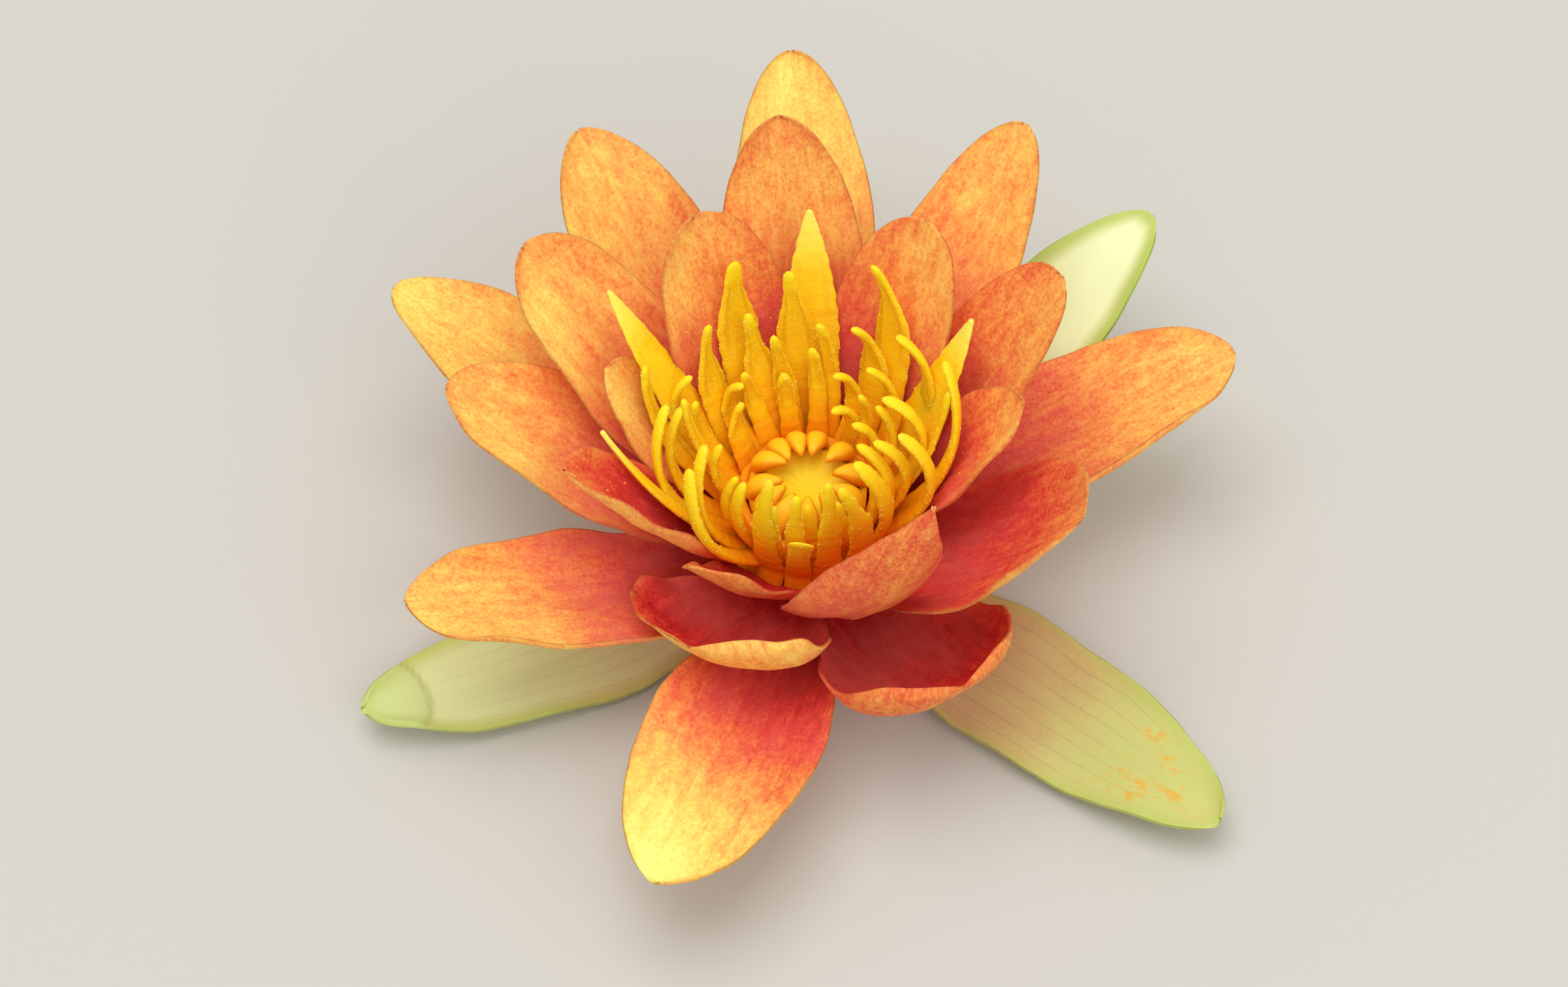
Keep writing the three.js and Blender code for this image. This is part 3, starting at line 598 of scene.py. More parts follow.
def blade_mesh(b, seed, thicknesses, rib_height, roll=(0, 0), flap=0):
    """A blade as one closed mesh: upper face, lower face and the rounded rim between them. roll curls its
    edges up, and flap is the length of a tip that is folded back over the upper face."""
    u = crowded(BLADE_ROWS, 1.6)
    s = np.linspace(-1, 1, BLADE_COLUMNS + 1)
    v = np.sign(s) * (1 - (1 - np.abs(s)) ** 1.25)
    half = ragged_half_width(b, u, seed)
    centre = midrib_points(b, place_at(b["az"], b["r0"], b["z0"]), u)
    _, side, normal = midrib_frame(b, u)
    across, up = blade_section(b, u, v, half, roll)
    up = up + blade_relief(b, u, v, half, seed)
    middle = centre[:, None] + across[..., None] * side[:, None] + up[..., None] * normal[:, None]
    face = np.cross(np.gradient(middle, axis=0), np.gradient(middle, axis=1))
    face /= np.linalg.norm(face, axis=2, keepdims=True)
    thick = blade_thickness(u, v, *thicknesses)
    rib = blade_ribs(u, v, half, rib_height)
    lap = blade_lap(b, u, v, flap)
    upper = middle + face * (thick / 2 + rib * (1 - lap) + FLAP_HEIGHT * lap)[..., None]
    lower = middle - face * (thick / 2 + rib * 0.6)[..., None]
    loop = outline_loop()
    points = np.vstack([upper.reshape(-1, 3), lower.reshape(-1, 3), rim_points(middle, face, thick, loop)])
    # nothing dips under the surface that the flower rests on
    points[:, 2] = np.maximum(points[:, 2], 0)
    return about_axis(points), blade_faces(loop, thick.size), blade_plane(b, u, v, half, lap, loop)


def blade_piece(name, b, seed, fields, s, **shape):
    """A blade as a mesh object that keeps its colour fields, and where each point lies on the blade."""
    thicknesses = [thick / MM for thick in (s.thick_base, s.thick_middle, s.thick_edge)]
    points, faces, plane = blade_mesh(b, seed, thicknesses, s.rib_height / MM, **shape)
    apart = np.full_like(plane["u"], seed * BLADE_NOISE_STEP)
    attributes = fields(plane)
    attributes["blade_mm"] = np.stack([plane["x"], plane["y"], apart], -1)
    attributes.update(edge_mm=plane["edge"], across=plane["v"], along=plane["u"], half_mm=plane["half"])
    return new_piece(name, points, faces, attributes)


def petal_fields(look):
    """A function that gives a petal's points their flush, rose, fleck and dust, from its row in FLUSH."""
    def fields(p):
        start, end = look["fade"]
        inside = FOOT_FLUSH - (FOOT_FLUSH - look["tip"]) * smooth((p["u"] - start) / (end - start))
        inside = inside + look["slant"] * p["v"] * smooth(p["u"] / 0.3)
        inside = inside + look["cap"] * smooth((p["u"] - 0.84) / 0.16)
        rim = np.exp(-p["edge"] / 1.2) * 0.6
        inside = inside * (1 - rim) + look["rim"] * rim
        back = look["back"] + (FOOT_FLUSH_OUTSIDE - look["back"]) * (1 - smooth(p["u"] / 0.45))
        flush = inside * (1 - p["outside"]) + back * p["outside"]
        rose = look["pink"] * smooth((p["u"] - 0.1) / 0.2) * (1 - smooth((p["u"] - 0.4) / 0.4))
        fleck = np.clip(1.2 - 0.9 * np.abs(flush - 0.45), 0.55, 1)
        dust = look["dust"] * smooth((p["u"] - 0.25) / 0.2) * (1 - p["outside"])
        dust = dust + look["clump"] * smooth((p["u"] - 0.982) / 0.01)
        return {"flush": flush, "rose": rose, "fleck": fleck, "dust": dust}
    return fields


def sepal_fields(look):
    """A function that gives a sepal's points their colour fields, from its row in SEPAL_LOOKS."""
    def fields(p):
        blush = look["blush"] * (1 - smooth((p["u"] - look["start"]) / 0.5))
        lime = look["lime"] * np.exp(-((p["edge"] / look["margin"]) ** 2)) * smooth((p["u"] - 0.1) / 0.3)
        rust = look["rust"] * smooth((p["u"] - 0.5) / 0.3) * smooth(p["edge"] / 2.5)
        fold = p["lap"] * (1 - p["outside"])
        # painted shade: a thin dark line where the folded tip lies on the face
        seam = 4 * p["lap"] * (1 - p["lap"]) * (1 - p["outside"])
        pale = look["pale"] * smooth(p["edge"] / 3.0)
        return {"blush": blush, "lime": lime, "rust": rust, "fold": fold, "seam": seam, "pale": pale}
    return fields


# ---------------------------------------------------------------- materials
def living_tissue(name, rough, gloss, glow, spread):
    """A material of moist cells with a soft gloss. Light sinks in, and spread says how far its red, green and
    blue travel there, in metres."""
    return new_material(name, **{
        "Roughness": rough, "IOR": 1.4, "Specular IOR Level": gloss, "Subsurface Weight": glow,
        "Subsurface Scale": 1.0, "Subsurface Radius": spread})


def drawn_out_noise(tree, place, scale, detail, roughness=0.6):
    """Cloudy noise drawn out along a blade. scale: how many cells a millimetre holds across and along it."""
    spread = add_node(tree, "ShaderNodeMapping", {"Vector": place, "Scale": (*scale, 1)}, vector_type="POINT")
    return add_node(tree, "ShaderNodeTexNoise", {
        "Vector": spread, "Scale": 1.0, "Detail": detail, "Roughness": roughness})


def add_layers(tree, ground, layers):
    """The ground value with noises laid over it. Each is a noise and its strength, and is centred first, so
    that it adds as much as it takes away."""
    for noise, strength in layers:
        centred = add_node(tree, "ShaderNodeMath", {0: noise, 1: 0.5}, operation="SUBTRACT")
        ground = add_node(tree, "ShaderNodeMath", {
            0: centred, 1: strength, 2: ground}, operation="MULTIPLY_ADD")
    return ground


def petal_material(s):
    """Living petal tissue, grown: waxy, half see-through cells, so light glows through it, with a soft low
    gloss. Red pigment lies in single cells over a yellow ground, which gives fine specks drawn out along the
    petal."""
    material, tree, shader = living_tissue(
        "living_petal_tissue", 0.55, 0.22, s.glow, (0.0006, 0.0003, 0.00015))
    place = add_node(tree, "ShaderNodeAttribute", attribute_name="blade_mm").outputs["Vector"]
    field = {name: add_node(tree, "ShaderNodeAttribute", attribute_name=name).outputs["Fac"] for name in (
        "flush", "fleck", "rose", "edge_mm")}
    # red cells of 0.1 mm gather in specks of 0.4 mm, which is as fine as shows
    specks = drawn_out_noise(tree, place, (2.4, 1.9), 3, 0.7)
    mottle = drawn_out_noise(tree, place, (0.8, 0.5), 4)
    patches = drawn_out_noise(tree, place, (0.24, 0.11), 3)
    streaks = drawn_out_noise(tree, place, (1.1, 0.10), 2)
    speck_strength = add_node(tree, "ShaderNodeMath", {0: field["fleck"], 1: s.speck}, operation="MULTIPLY")
    total = add_layers(tree, field["flush"], (
        (specks, speck_strength), (mottle, s.mottle), (patches, s.patch), (streaks, s.streak)))
    ramp = add_node(tree, "ShaderNodeValToRGB", {"Fac": total}, stops=[
        (0.0, tuple(s.cream)), (1.0, tuple(s.crimson)), (0.16, tuple(s.yellow)), (0.34, tuple(s.amber)),
        (0.5, tuple(s.orange)), (0.66, tuple(s.coral)), (0.82, tuple(s.red))])
    uneven = add_node(tree, "ShaderNodeMapRange", {
        "Value": patches, "From Min": 0.35, "From Max": 0.65, "To Min": 0.3})
    blush = add_node(tree, "ShaderNodeMath", {0: field["rose"], 1: uneven}, operation="MULTIPLY")
    pink = add_node(tree, "ShaderNodeMix", {0: blush, 6: ramp, 7: tuple(s.rose)}, data_type="RGBA")
    line = add_node(tree, "ShaderNodeMapRange", {
        "Value": field["edge_mm"], "From Min": 0.05, "From Max": 0.32, "To Min": 0.22, "To Max": 0.0})
    edged = add_node(tree, "ShaderNodeMix", {0: line, 6: pink, 7: tuple(s.edge_line)}, data_type="RGBA")
    tree.links.new(edged.outputs[2], shader.inputs["Base Color"])
    grain = add_node(tree, "ShaderNodeMath", {0: streaks, 1: 1.2, 2: specks}, operation="MULTIPLY_ADD")
    bump = add_node(tree, "ShaderNodeBump", {"Height": grain, "Strength": 0.3, "Distance": 0.1 * MM})
    tree.links.new(bump.outputs[0], shader.inputs["Normal"])
    return material


def sepal_material(s):
    """Living sepal tissue, grown: firmer than a petal, matt wax over green, with thin dark veins."""
    material, tree, shader = living_tissue(
        "living_sepal_tissue", 0.5, 0.28, 0.25, (0.0005, 0.0005, 0.0002))
    place = add_node(tree, "ShaderNodeAttribute", attribute_name="blade_mm").outputs["Vector"]
    field = {name: add_node(tree, "ShaderNodeAttribute", attribute_name=name).outputs["Fac"] for name in (
        "blush", "lime", "rust", "fold", "seam", "pale", "across", "along", "half_mm")}
    grain = drawn_out_noise(tree, place, (2.4, 1.9), 3)
    cloud = drawn_out_noise(tree, place, (0.30, 0.14), 4)
    blotch = drawn_out_noise(tree, place, (0.8, 0.55), 6, 0.8)
    total = add_layers(tree, field["blush"], ((grain, 0.6), (cloud, 0.75)))
    ground = add_node(tree, "ShaderNodeValToRGB", {"Fac": total}, stops=[
        (0.0, tuple(s.green)), (1.0, tuple(s.tan)), (0.33, tuple(s.straw)), (0.64, tuple(s.sand))])
    pale = add_node(tree, "ShaderNodeMix", {0: field["pale"], 6: ground, 7: tuple(s.pale)}, data_type="RGBA")
    limed = add_node(tree, "ShaderNodeMix", {0: field["lime"], 6: pale, 7: tuple(s.lime)}, data_type="RGBA")
    # eight veins stand at even shares of the width, about 0.25 mm wide, and wander a little
    wander = add_layers(tree, field["across"], ((cloud, 0.14),))
    share = add_node(tree, "ShaderNodeMath", {0: wander, 1: 4.0}, operation="MULTIPLY")
    wave = add_node(tree, "ShaderNodeMath", {0: share, 1: 0.5}, operation="PINGPONG")
    gap = add_node(tree, "ShaderNodeMath", {0: wave, 1: field["half_mm"]}, operation="MULTIPLY")
    vein = add_node(tree, "ShaderNodeMapRange", {
        "Value": gap, "From Min": 0.1, "From Max": 0.6, "To Min": s.vein_strength, "To Max": 0.0})
    ahead = add_node(tree, "ShaderNodeMapRange", {
        "Value": field["along"], "From Min": 0.5, "From Max": 0.92, "To Min": 1.0, "To Max": 0.0})
    vein = add_node(tree, "ShaderNodeMath", {0: vein, 1: ahead}, operation="MULTIPLY")
    bare = add_node(tree, "ShaderNodeMapRange", {
        "Value": field["pale"], "From Min": 0.0, "From Max": 1.0, "To Min": 1.0, "To Max": 0.15})
    vein = add_node(tree, "ShaderNodeMath", {0: vein, 1: bare}, operation="MULTIPLY")
    veined = add_node(tree, "ShaderNodeMix", {0: vein, 6: limed, 7: tuple(s.vein)}, data_type="RGBA")
    # rusty blotches gather towards the tip
    patchy = add_layers(tree, blotch, ((field["rust"], 0.16), (cloud, 0.5)))
    rust = add_node(tree, "ShaderNodeMapRange", {
        "Value": patchy, "From Min": 0.60, "From Max": 0.72, "To Min": 0.0, "To Max": 0.8})
    rust = add_node(tree, "ShaderNodeMath", {0: rust, 1: field["rust"]}, operation="MULTIPLY")
    rusty = add_node(tree, "ShaderNodeMix", {0: rust, 6: veined, 7: tuple(s.rust)}, data_type="RGBA")
    flap = add_node(tree, "ShaderNodeMath", {0: field["fold"], 1: 0.6}, operation="MULTIPLY")
    folded = add_node(tree, "ShaderNodeMix", {0: flap, 6: rusty, 7: tuple(s.flap)}, data_type="RGBA")
    # painted shade along the edge of the folded tip, where it lies on the sepal
    line = add_node(tree, "ShaderNodeMath", {0: field["seam"], 1: 0.32}, operation="MULTIPLY")
    flap_edge_shaded = add_node(tree, "ShaderNodeMix", {0: line, 6: folded, 7: tuple(s.seam)}, data_type="RGBA")
    tree.links.new(flap_edge_shaded.outputs[2], shader.inputs["Base Color"])
    bump = add_node(tree, "ShaderNodeBump", {"Height": grain, "Strength": 0.3, "Distance": 0.1 * MM})
    tree.links.new(bump.outputs[0], shader.inputs["Normal"])
    return material


def stamen_material(s):
    """Living stamen tissue, grown: smooth, moist and deep yellow, glowing orange where light passes through
    the lower straps. The inner face of an anther is duller, with two dark lines where it opens."""
    material, tree, shader = living_tissue(
        "living_stamen_tissue", 0.45, 0.25, 0.4, (0.0016, 0.0009, 0.0001))
    field = {name: add_node(tree, "ShaderNodeAttribute", attribute_name=name).outputs["Fac"] for name in (
        "along", "across", "anther", "half_wide", "along_mm", "own", "petaloid", "inner")}
    half = add_node(tree, "ShaderNodeMath", {0: field["half_wide"], 1: 1 / MM}, operation="MULTIPLY")
    sideways = add_node(tree, "ShaderNodeMath", {0: field["across"], 1: half}, operation="MULTIPLY")
    place = add_node(tree, "ShaderNodeCombineXYZ", {0: sideways, 1: field["along_mm"], 2: field["own"]})
    cloud = drawn_out_noise(tree, place, (0.5, 0.35), 4)
    grain = drawn_out_noise(tree, place, (3.2, 3.2), 3, 0.7)
    wrinkle_and_crease_shade = drawn_out_noise(tree, place, (0.3, 1.0), 3)
    # the wrinkles raise the bump and also shift the colour: more orange in their troughs, which is painted
    # shade in the creases
    level = add_layers(tree, field["along"], ((cloud, 0.55), (wrinkle_and_crease_shade, 0.45), (grain, 0.12)))
    body = add_node(tree, "ShaderNodeValToRGB", {"Fac": level}, stops=[
        (0.0, tuple(s.amber)), (1.0, tuple(s.bright)), (0.25, tuple(s.orange)), (0.55, tuple(s.yellow))])
    upper = add_node(tree, "ShaderNodeMapRange", {"Value": field["along"], "From Min": 0.74, "From Max": 1.0})
    tip = add_node(tree, "ShaderNodeMath", {0: upper, 1: field["petaloid"]}, operation="MULTIPLY")
    tipped = add_node(tree, "ShaderNodeMix", {0: tip, 6: body, 7: tuple(s.pale_tip)}, data_type="RGBA")
    facing = add_node(tree, "ShaderNodeMapRange", {"Value": field["inner"], "From Min": 0.0, "From Max": 0.5})
    facing = add_node(tree, "ShaderNodeMath", {0: facing, 1: field["anther"]}, operation="MULTIPLY")
    crumbs = add_node(tree, "ShaderNodeMapRange", {
        "Value": grain, "From Min": 0.4, "From Max": 0.62, "To Min": 0.1, "To Max": 0.6})
    dull = add_node(tree, "ShaderNodeMath", {0: facing, 1: crumbs}, operation="MULTIPLY")
    dulled = add_node(tree, "ShaderNodeMix", {0: dull, 6: tipped, 7: tuple(s.ochre)}, data_type="RGBA")
    width = add_node(tree, "ShaderNodeMath", {0: field["across"]}, operation="ABSOLUTE")
    off = add_node(tree, "ShaderNodeMath", {0: width, 1: 0.62, 2: 0.12}, operation="COMPARE")
    slit = add_node(tree, "ShaderNodeMath", {0: off, 1: facing}, operation="MULTIPLY")
    slit = add_node(tree, "ShaderNodeMath", {0: slit, 1: 0.35}, operation="MULTIPLY")
    lined = add_node(tree, "ShaderNodeMix", {0: slit, 6: dulled, 7: tuple(s.slit)}, data_type="RGBA")
    tree.links.new(lined.outputs[2], shader.inputs["Base Color"])
    crumbly = add_node(tree, "ShaderNodeMath", {0: grain, 1: field["anther"]}, operation="MULTIPLY")
    height = add_node(tree, "ShaderNodeMath", {0: wrinkle_and_crease_shade, 1: 1.8, 2: crumbly}, operation="MULTIPLY_ADD")
    bump = add_node(tree, "ShaderNodeBump", {"Height": height, "Strength": 0.45, "Distance": 0.15 * MM})
    tree.links.new(bump.outputs[0], shader.inputs["Normal"])
    return material


def golden_material(name, hollow, painted_light, rough):
    """Living tissue of the stigma disc, the styles or the collar, grown: firm, moist and golden. A share kept
    for each point mixes the hollow colour, which is painted shade in the creases, towards the disc's rim
    under the styles and on the styles' edges and undersides, with a lighter colour, which is painted light on
    the disc's middle and rays and on the styles' upper faces. The collar and the band take an even share."""
    material, tree, shader = living_tissue(name, rough, 0.25, 0.4, (0.0016, 0.0008, 0.0001))
    objects = add_node(tree, "ShaderNodeTexCoord").outputs["Object"]
    # soft clouds of 1.5 mm
    cloud = add_node(tree, "ShaderNodeTexNoise", {
        "Vector": objects, "Scale": 700.0, "Detail": 3, "Roughness": 0.6})
    painted_light_share = add_node(tree, "ShaderNodeAttribute", attribute_name="painted_light").outputs["Fac"]
    level = add_layers(tree, painted_light_share, ((cloud, 0.4),))
    # painted shade and painted light: the hollow colour where the share is low, the lighter colour where it
    # is high
    tone = add_node(tree, "ShaderNodeMix", {0: level, 6: tuple(hollow), 7: tuple(painted_light)}, data_type="RGBA")
    tree.links.new(tone.outputs[2], shader.inputs["Base Color"])
    bump = add_node(tree, "ShaderNodeBump", {"Height": cloud, "Strength": 0.3, "Distance": 0.12 * MM})
    tree.links.new(bump.outputs[0], shader.inputs["Normal"])
    return material


def pollen_material(s):
    """Pollen, shed: dry, powdery and pale, without gloss, so that single grains catch the light."""
    material, tree, shader = new_material("dry_pollen", **{"Roughness": 0.85, "IOR": 1.4})
    objects = add_node(tree, "ShaderNodeTexCoord").outputs["Object"]
    # grains differ from each other over 0.5 mm
    cloud = add_node(tree, "ShaderNodeTexNoise", {"Vector": objects, "Scale": 2000.0, "Detail": 1})
    share = add_node(tree, "ShaderNodeMapRange", {"Value": cloud, "From Min": 0.35, "From Max": 0.65})
    tone = add_node(tree, "ShaderNodeMix", {
        0: share, 6: tuple(s.pollen), 7: tuple(s.pollen_pale)}, data_type="RGBA")
    tree.links.new(tone.outputs[2], shader.inputs["Base Color"])
    return material


def stalk_material(s):
    """Living stalk, grown: smooth wax over olive green, with faint lengthwise streaks. Its top, which the
    stamens grow from, is golden."""
    material, tree, shader = new_material("living_stalk", **{
        "Roughness": 0.45, "IOR": 1.4, "Specular IOR Level": 0.3})
    objects = add_node(tree, "ShaderNodeTexCoord").outputs["Object"]
    spread = add_node(tree, "ShaderNodeMapping", {"Vector": objects, "Scale": (900, 900, 90)})
    streak = add_node(tree, "ShaderNodeTexNoise", {"Vector": spread, "Scale": 1.0, "Detail": 3})
    olive = add_node(tree, "ShaderNodeMix", {
        0: streak, 6: tuple(s.stalk_dark), 7: tuple(s.stalk_light)}, data_type="RGBA")
    height = add_node(tree, "ShaderNodeSeparateXYZ", {0: objects}).outputs["Z"]
    top = add_node(tree, "ShaderNodeMapRange", {
        "Value": height, "From Min": 9.5 * MM, "From Max": 12 * MM})
    tone = add_node(tree, "ShaderNodeMix", {0: top, 6: olive, 7: tuple(s.style_shade_and_stalk_top)}, data_type="RGBA")
    tree.links.new(tone.outputs[2], shader.inputs["Base Color"])
    return material


def floor_material(s):
    """Matt painted board: pale, even and without gloss."""
    return new_material("matt_painted_board", **{"Base Color": tuple(s.floor), "Roughness": 0.9})[0]


# ---------------------------------------------------------------- geometry trees
def sweep_tree(material):
    """A tree that turns each guide line into a strap, as wide and as thick as the line says at each point."""
    tree = bpy.data.node_groups.new("strap_along_line", "GeometryNodeTree")
    tree.interface.new_socket("Guide lines", in_out="INPUT", socket_type="NodeSocketGeometry")
    tree.interface.new_socket("Sides", in_out="INPUT", socket_type="NodeSocketInt").default_value = 20
    for name in ("Groove depth share", "Ridge height share"):
        tree.interface.new_socket(name, in_out="INPUT", socket_type="NodeSocketFloat").default_value = 0.3
    tree.interface.new_socket("Straps", in_out="OUTPUT", socket_type="NodeSocketGeometry")
    start = add_node(tree, "NodeGroupInput")
    sizes = {name: add_node(tree, "GeometryNodeInputNamedAttribute", {"Name": name}, data_type=kind)
             for name, kind in (("anther", "FLOAT"), ("half_wide", "FLOAT"), ("half_thick", "FLOAT"),
                                ("side", "FLOAT_VECTOR"), ("face", "FLOAT_VECTOR"))}
    lines = add_node(tree, "GeometryNodeMeshToCurve", {"Mesh": start.outputs["Guide lines"]})
    ring = add_node(tree, "GeometryNodeCurvePrimitiveCircle", {
        "Resolution": start.outputs["Sides"], "Radius": 1.0})
    factor = add_node(tree, "GeometryNodeSplineParameter").outputs["Factor"]
    kept = add_node(tree, "GeometryNodeCaptureAttribute", {"Geometry": ring})
    kept.capture_items.new("FLOAT", "turn")
    tree.links.new(factor, kept.inputs[1])
    rail = add_node(tree, "GeometryNodeCaptureAttribute", {"Geometry": lines})
    rail.capture_items.new("VECTOR", "centre")
    tree.links.new(add_node(tree, "GeometryNodeInputPosition").outputs[0], rail.inputs[1])
    swept = add_node(tree, "GeometryNodeCurveToMesh", {
        "Curve": rail.outputs[0], "Profile Curve": kept.outputs[0], "Fill Caps": True})
    angle = add_node(tree, "ShaderNodeMath", {0: kept.outputs[1], 1: 2 * math.pi}, operation="MULTIPLY")
    across = add_node(tree, "ShaderNodeMath", {0: angle}, operation="COSINE")
    up = add_node(tree, "ShaderNodeMath", {0: angle}, operation="SINE")
    # the inner face of an anther is hollowed along its middle, between two ridges
    inner = add_node(tree, "ShaderNodeMath", {0: up, 1: 0.0}, operation="MAXIMUM")
    inner = add_node(tree, "ShaderNodeMath", {0: inner, 1: sizes["anther"]}, operation="MULTIPLY")
    squared = add_node(tree, "ShaderNodeMath", {0: across, 1: across}, operation="MULTIPLY")
    middle = add_node(tree, "ShaderNodeMath", {0: 1.0, 1: squared}, operation="SUBTRACT")
    middle = add_node(tree, "ShaderNodeMath", {0: middle, 1: 3.0}, operation="POWER")
    hollow = add_node(tree, "ShaderNodeMath", {
        0: middle, 1: start.outputs["Groove depth share"]}, operation="MULTIPLY")
    width = add_node(tree, "ShaderNodeMath", {0: across}, operation="ABSOLUTE")
    aside = add_node(tree, "ShaderNodeMath", {0: width, 1: 0.6}, operation="SUBTRACT")
    aside = add_node(tree, "ShaderNodeMath", {0: aside}, operation="ABSOLUTE")
    swell = add_node(tree, "ShaderNodeMapRange", {
        "Value": aside, "From Min": 0.0, "From Max": 0.3, "To Min": start.outputs["Ridge height share"],
        "To Max": 0.0})
    shape = add_node(tree, "ShaderNodeMath", {0: swell, 1: hollow}, operation="SUBTRACT")
    rise = add_node(tree, "ShaderNodeMath", {0: shape, 1: inner, 2: up}, operation="MULTIPLY_ADD")
    half_wide = add_node(tree, "ShaderNodeMath", {0: across, 1: sizes["half_wide"]}, operation="MULTIPLY")
    half_thick = add_node(tree, "ShaderNodeMath", {0: rise, 1: sizes["half_thick"]}, operation="MULTIPLY")
    sideways = add_node(tree, "ShaderNodeVectorMath", {
        0: sizes["side"], "Scale": half_wide}, operation="SCALE")
    upwards = add_node(tree, "ShaderNodeVectorMath", {
        0: sizes["face"], "Scale": half_thick}, operation="SCALE")
    spot = add_node(tree, "ShaderNodeVectorMath", {0: rail.outputs[1], 1: sideways}, operation="ADD")
    spot = add_node(tree, "ShaderNodeVectorMath", {0: spot, 1: upwards}, operation="ADD")
    placed = add_node(tree, "GeometryNodeSetPosition", {"Geometry": swept, "Position": spot})
    stored = add_node(tree, "GeometryNodeStoreNamedAttribute", {
        "Geometry": placed, "Name": "across", "Value": across}, data_type="FLOAT", domain="POINT")
    stored = add_node(tree, "GeometryNodeStoreNamedAttribute", {
        "Geometry": stored, "Name": "inner", "Value": up}, data_type="FLOAT", domain="POINT")
    shaded = add_node(tree, "GeometryNodeSetShadeSmooth", {"Geometry": stored})
    real = add_node(tree, "GeometryNodeRealizeInstances", {"Geometry": shaded})
    painted = add_node(tree, "GeometryNodeSetMaterial", {"Geometry": real, "Material": material})
    add_node(tree, "NodeGroupOutput", {0: painted})
    return tree


def pollen_tree(material):
    """A tree that strews grains over a surface, thickest where its dust attribute is high."""
    tree = bpy.data.node_groups.new("pollen_on_surface", "GeometryNodeTree")
    tree.interface.new_socket("Surface", in_out="INPUT", socket_type="NodeSocketGeometry")
    for name, kind, value in (("Grains per square metre", "NodeSocketFloat", 1.2e6),
                              ("Grain radius", "NodeSocketFloat", 0.0001), ("Seed", "NodeSocketInt", 3)):
        tree.interface.new_socket(name, in_out="INPUT", socket_type=kind).default_value = value
    tree.interface.new_socket("Grains", in_out="OUTPUT", socket_type="NodeSocketGeometry")
    start = add_node(tree, "NodeGroupInput")
    dust = add_node(tree, "GeometryNodeInputNamedAttribute", {"Name": "dust"}, data_type="FLOAT")
    density = add_node(tree, "ShaderNodeMath", {
        0: dust, 1: start.outputs["Grains per square metre"]}, operation="MULTIPLY")
    strewn = add_node(tree, "GeometryNodeDistributePointsOnFaces", {
        "Mesh": start.outputs["Surface"], "Density": density, "Seed": start.outputs["Seed"]},
        distribute_method="RANDOM")
    grain = add_node(tree, "GeometryNodeMeshIcoSphere", {
        "Radius": start.outputs["Grain radius"], "Subdivisions": 1})
    # each grain has half to one and a half times the radius, and is turned any way
    size = add_node(tree, "FunctionNodeRandomValue", {
        2: 0.5, 3: 1.5, "Seed": start.outputs["Seed"]}, data_type="FLOAT")
    turn = add_node(tree, "FunctionNodeRandomValue", {
        1: (6.28, 6.28, 6.28), "Seed": start.outputs["Seed"]}, data_type="FLOAT_VECTOR")
    placed = add_node(tree, "GeometryNodeInstanceOnPoints", {
        "Points": strewn, "Instance": grain, "Rotation": turn, "Scale": size})
    real = add_node(tree, "GeometryNodeRealizeInstances", {"Geometry": placed})
    painted = add_node(tree, "GeometryNodeSetMaterial", {"Geometry": real, "Material": material})
    add_node(tree, "NodeGroupOutput", {0: painted})
    return tree


# ---------------------------------------------------------------- lines of stamens and styles
LINE_STEPS = 56  # steps along a stamen
STYLE_STEPS = 28
ROOT_STEPS = 6
AIM_ROUNDS = 30  # rounds in which a stamen's bend is closed in on
THINNEST = 0.04  # what is left of the width and thickness at the very tip, as a share
LINE_FIELDS = ("side", "face", "half_wide", "half_thick", "anther", "along", "along_mm", "petaloid", "own")


def aimed_at(path, out, across):
    """Length, slope and sideways turn of a path, in degrees."""
    size = float(np.linalg.norm(path))
    slope = math.degrees(math.atan2(path[2], path @ out))
    return size, slope, math.degrees(math.asin(path @ across / size))


def stamen_bend(row, az, tip_az, reach, height, hook, power):
    """Foot and midrib of a stamen. Its slope, lean and length are closed in on step by step, until the end of
    the curve stands where the tip is set."""
    foot_radius, foot_height = STAMEN_ROWS[row]
    out = place_at(az, 1, 0)
    across = np.array([-out[1], out[0], 0])
    foot = place_at(az, foot_radius, foot_height)
    tip = place_at(tip_az, reach, height)
    size, slope, turn = aimed_at(tip - foot, out, across)
    b = dict(az=az, length=size, rise=slope, tip=slope + hook, lean=0.0, power=power)
    for _ in range(AIM_ROUNDS):
        end = midrib_points(b, foot, np.array([1.0]))[0]
        end_size, end_slope, end_turn = aimed_at(end - foot, out, across)
        b["length"] *= size / end_size
        b["rise"] += slope - end_slope
        b["tip"] = b["rise"] + hook
        b["lean"] += 1.5 * (turn - end_turn)
    return foot, b


def strap_form(kind, u, width, finger):
    """Width, thickness and anther of a stamen along it, and the width of its rounded end."""
    if kind == "petal":
        body = width * (0.75 + 0.4 * smooth(u / 0.4))
        wide = body * np.maximum(0, 1 - np.clip((u - 0.45) / 0.57, 0, 1) ** 1.9) + 0.2
        anther = 0.3 * smooth((u - 0.5) / 0.12) * (1 - smooth((u - 0.75) / 0.1))
        return wide, 1.25 - 0.6 * u, anther, 0.5
    if kind == "blunt":
        wide = width * (1.2 - 0.25 * smooth(u / 0.45) + 0.15 * smooth((u - 0.6) / 0.4))
        return wide, 1.5 - 0.9 * u, np.zeros_like(u), 1.2
    body = width * (1.25 - 0.25 * smooth(u / 0.35))
    # broad straps keep their width for longer before they narrow to the finger
    hip = 0.54 + 0.09 * float(smooth((width - 3.5) / 1.5))
    wide = body + (finger * (1.05 - 0.25 * smooth((u - 0.8) / 0.2)) - body) * smooth((u - hip) / 0.25)
    anther = smooth((u - 0.5) / 0.14) * (1 - smooth((u - 0.86) / 0.07))
    return wide, 1.45 - 0.45 * u, anther, finger


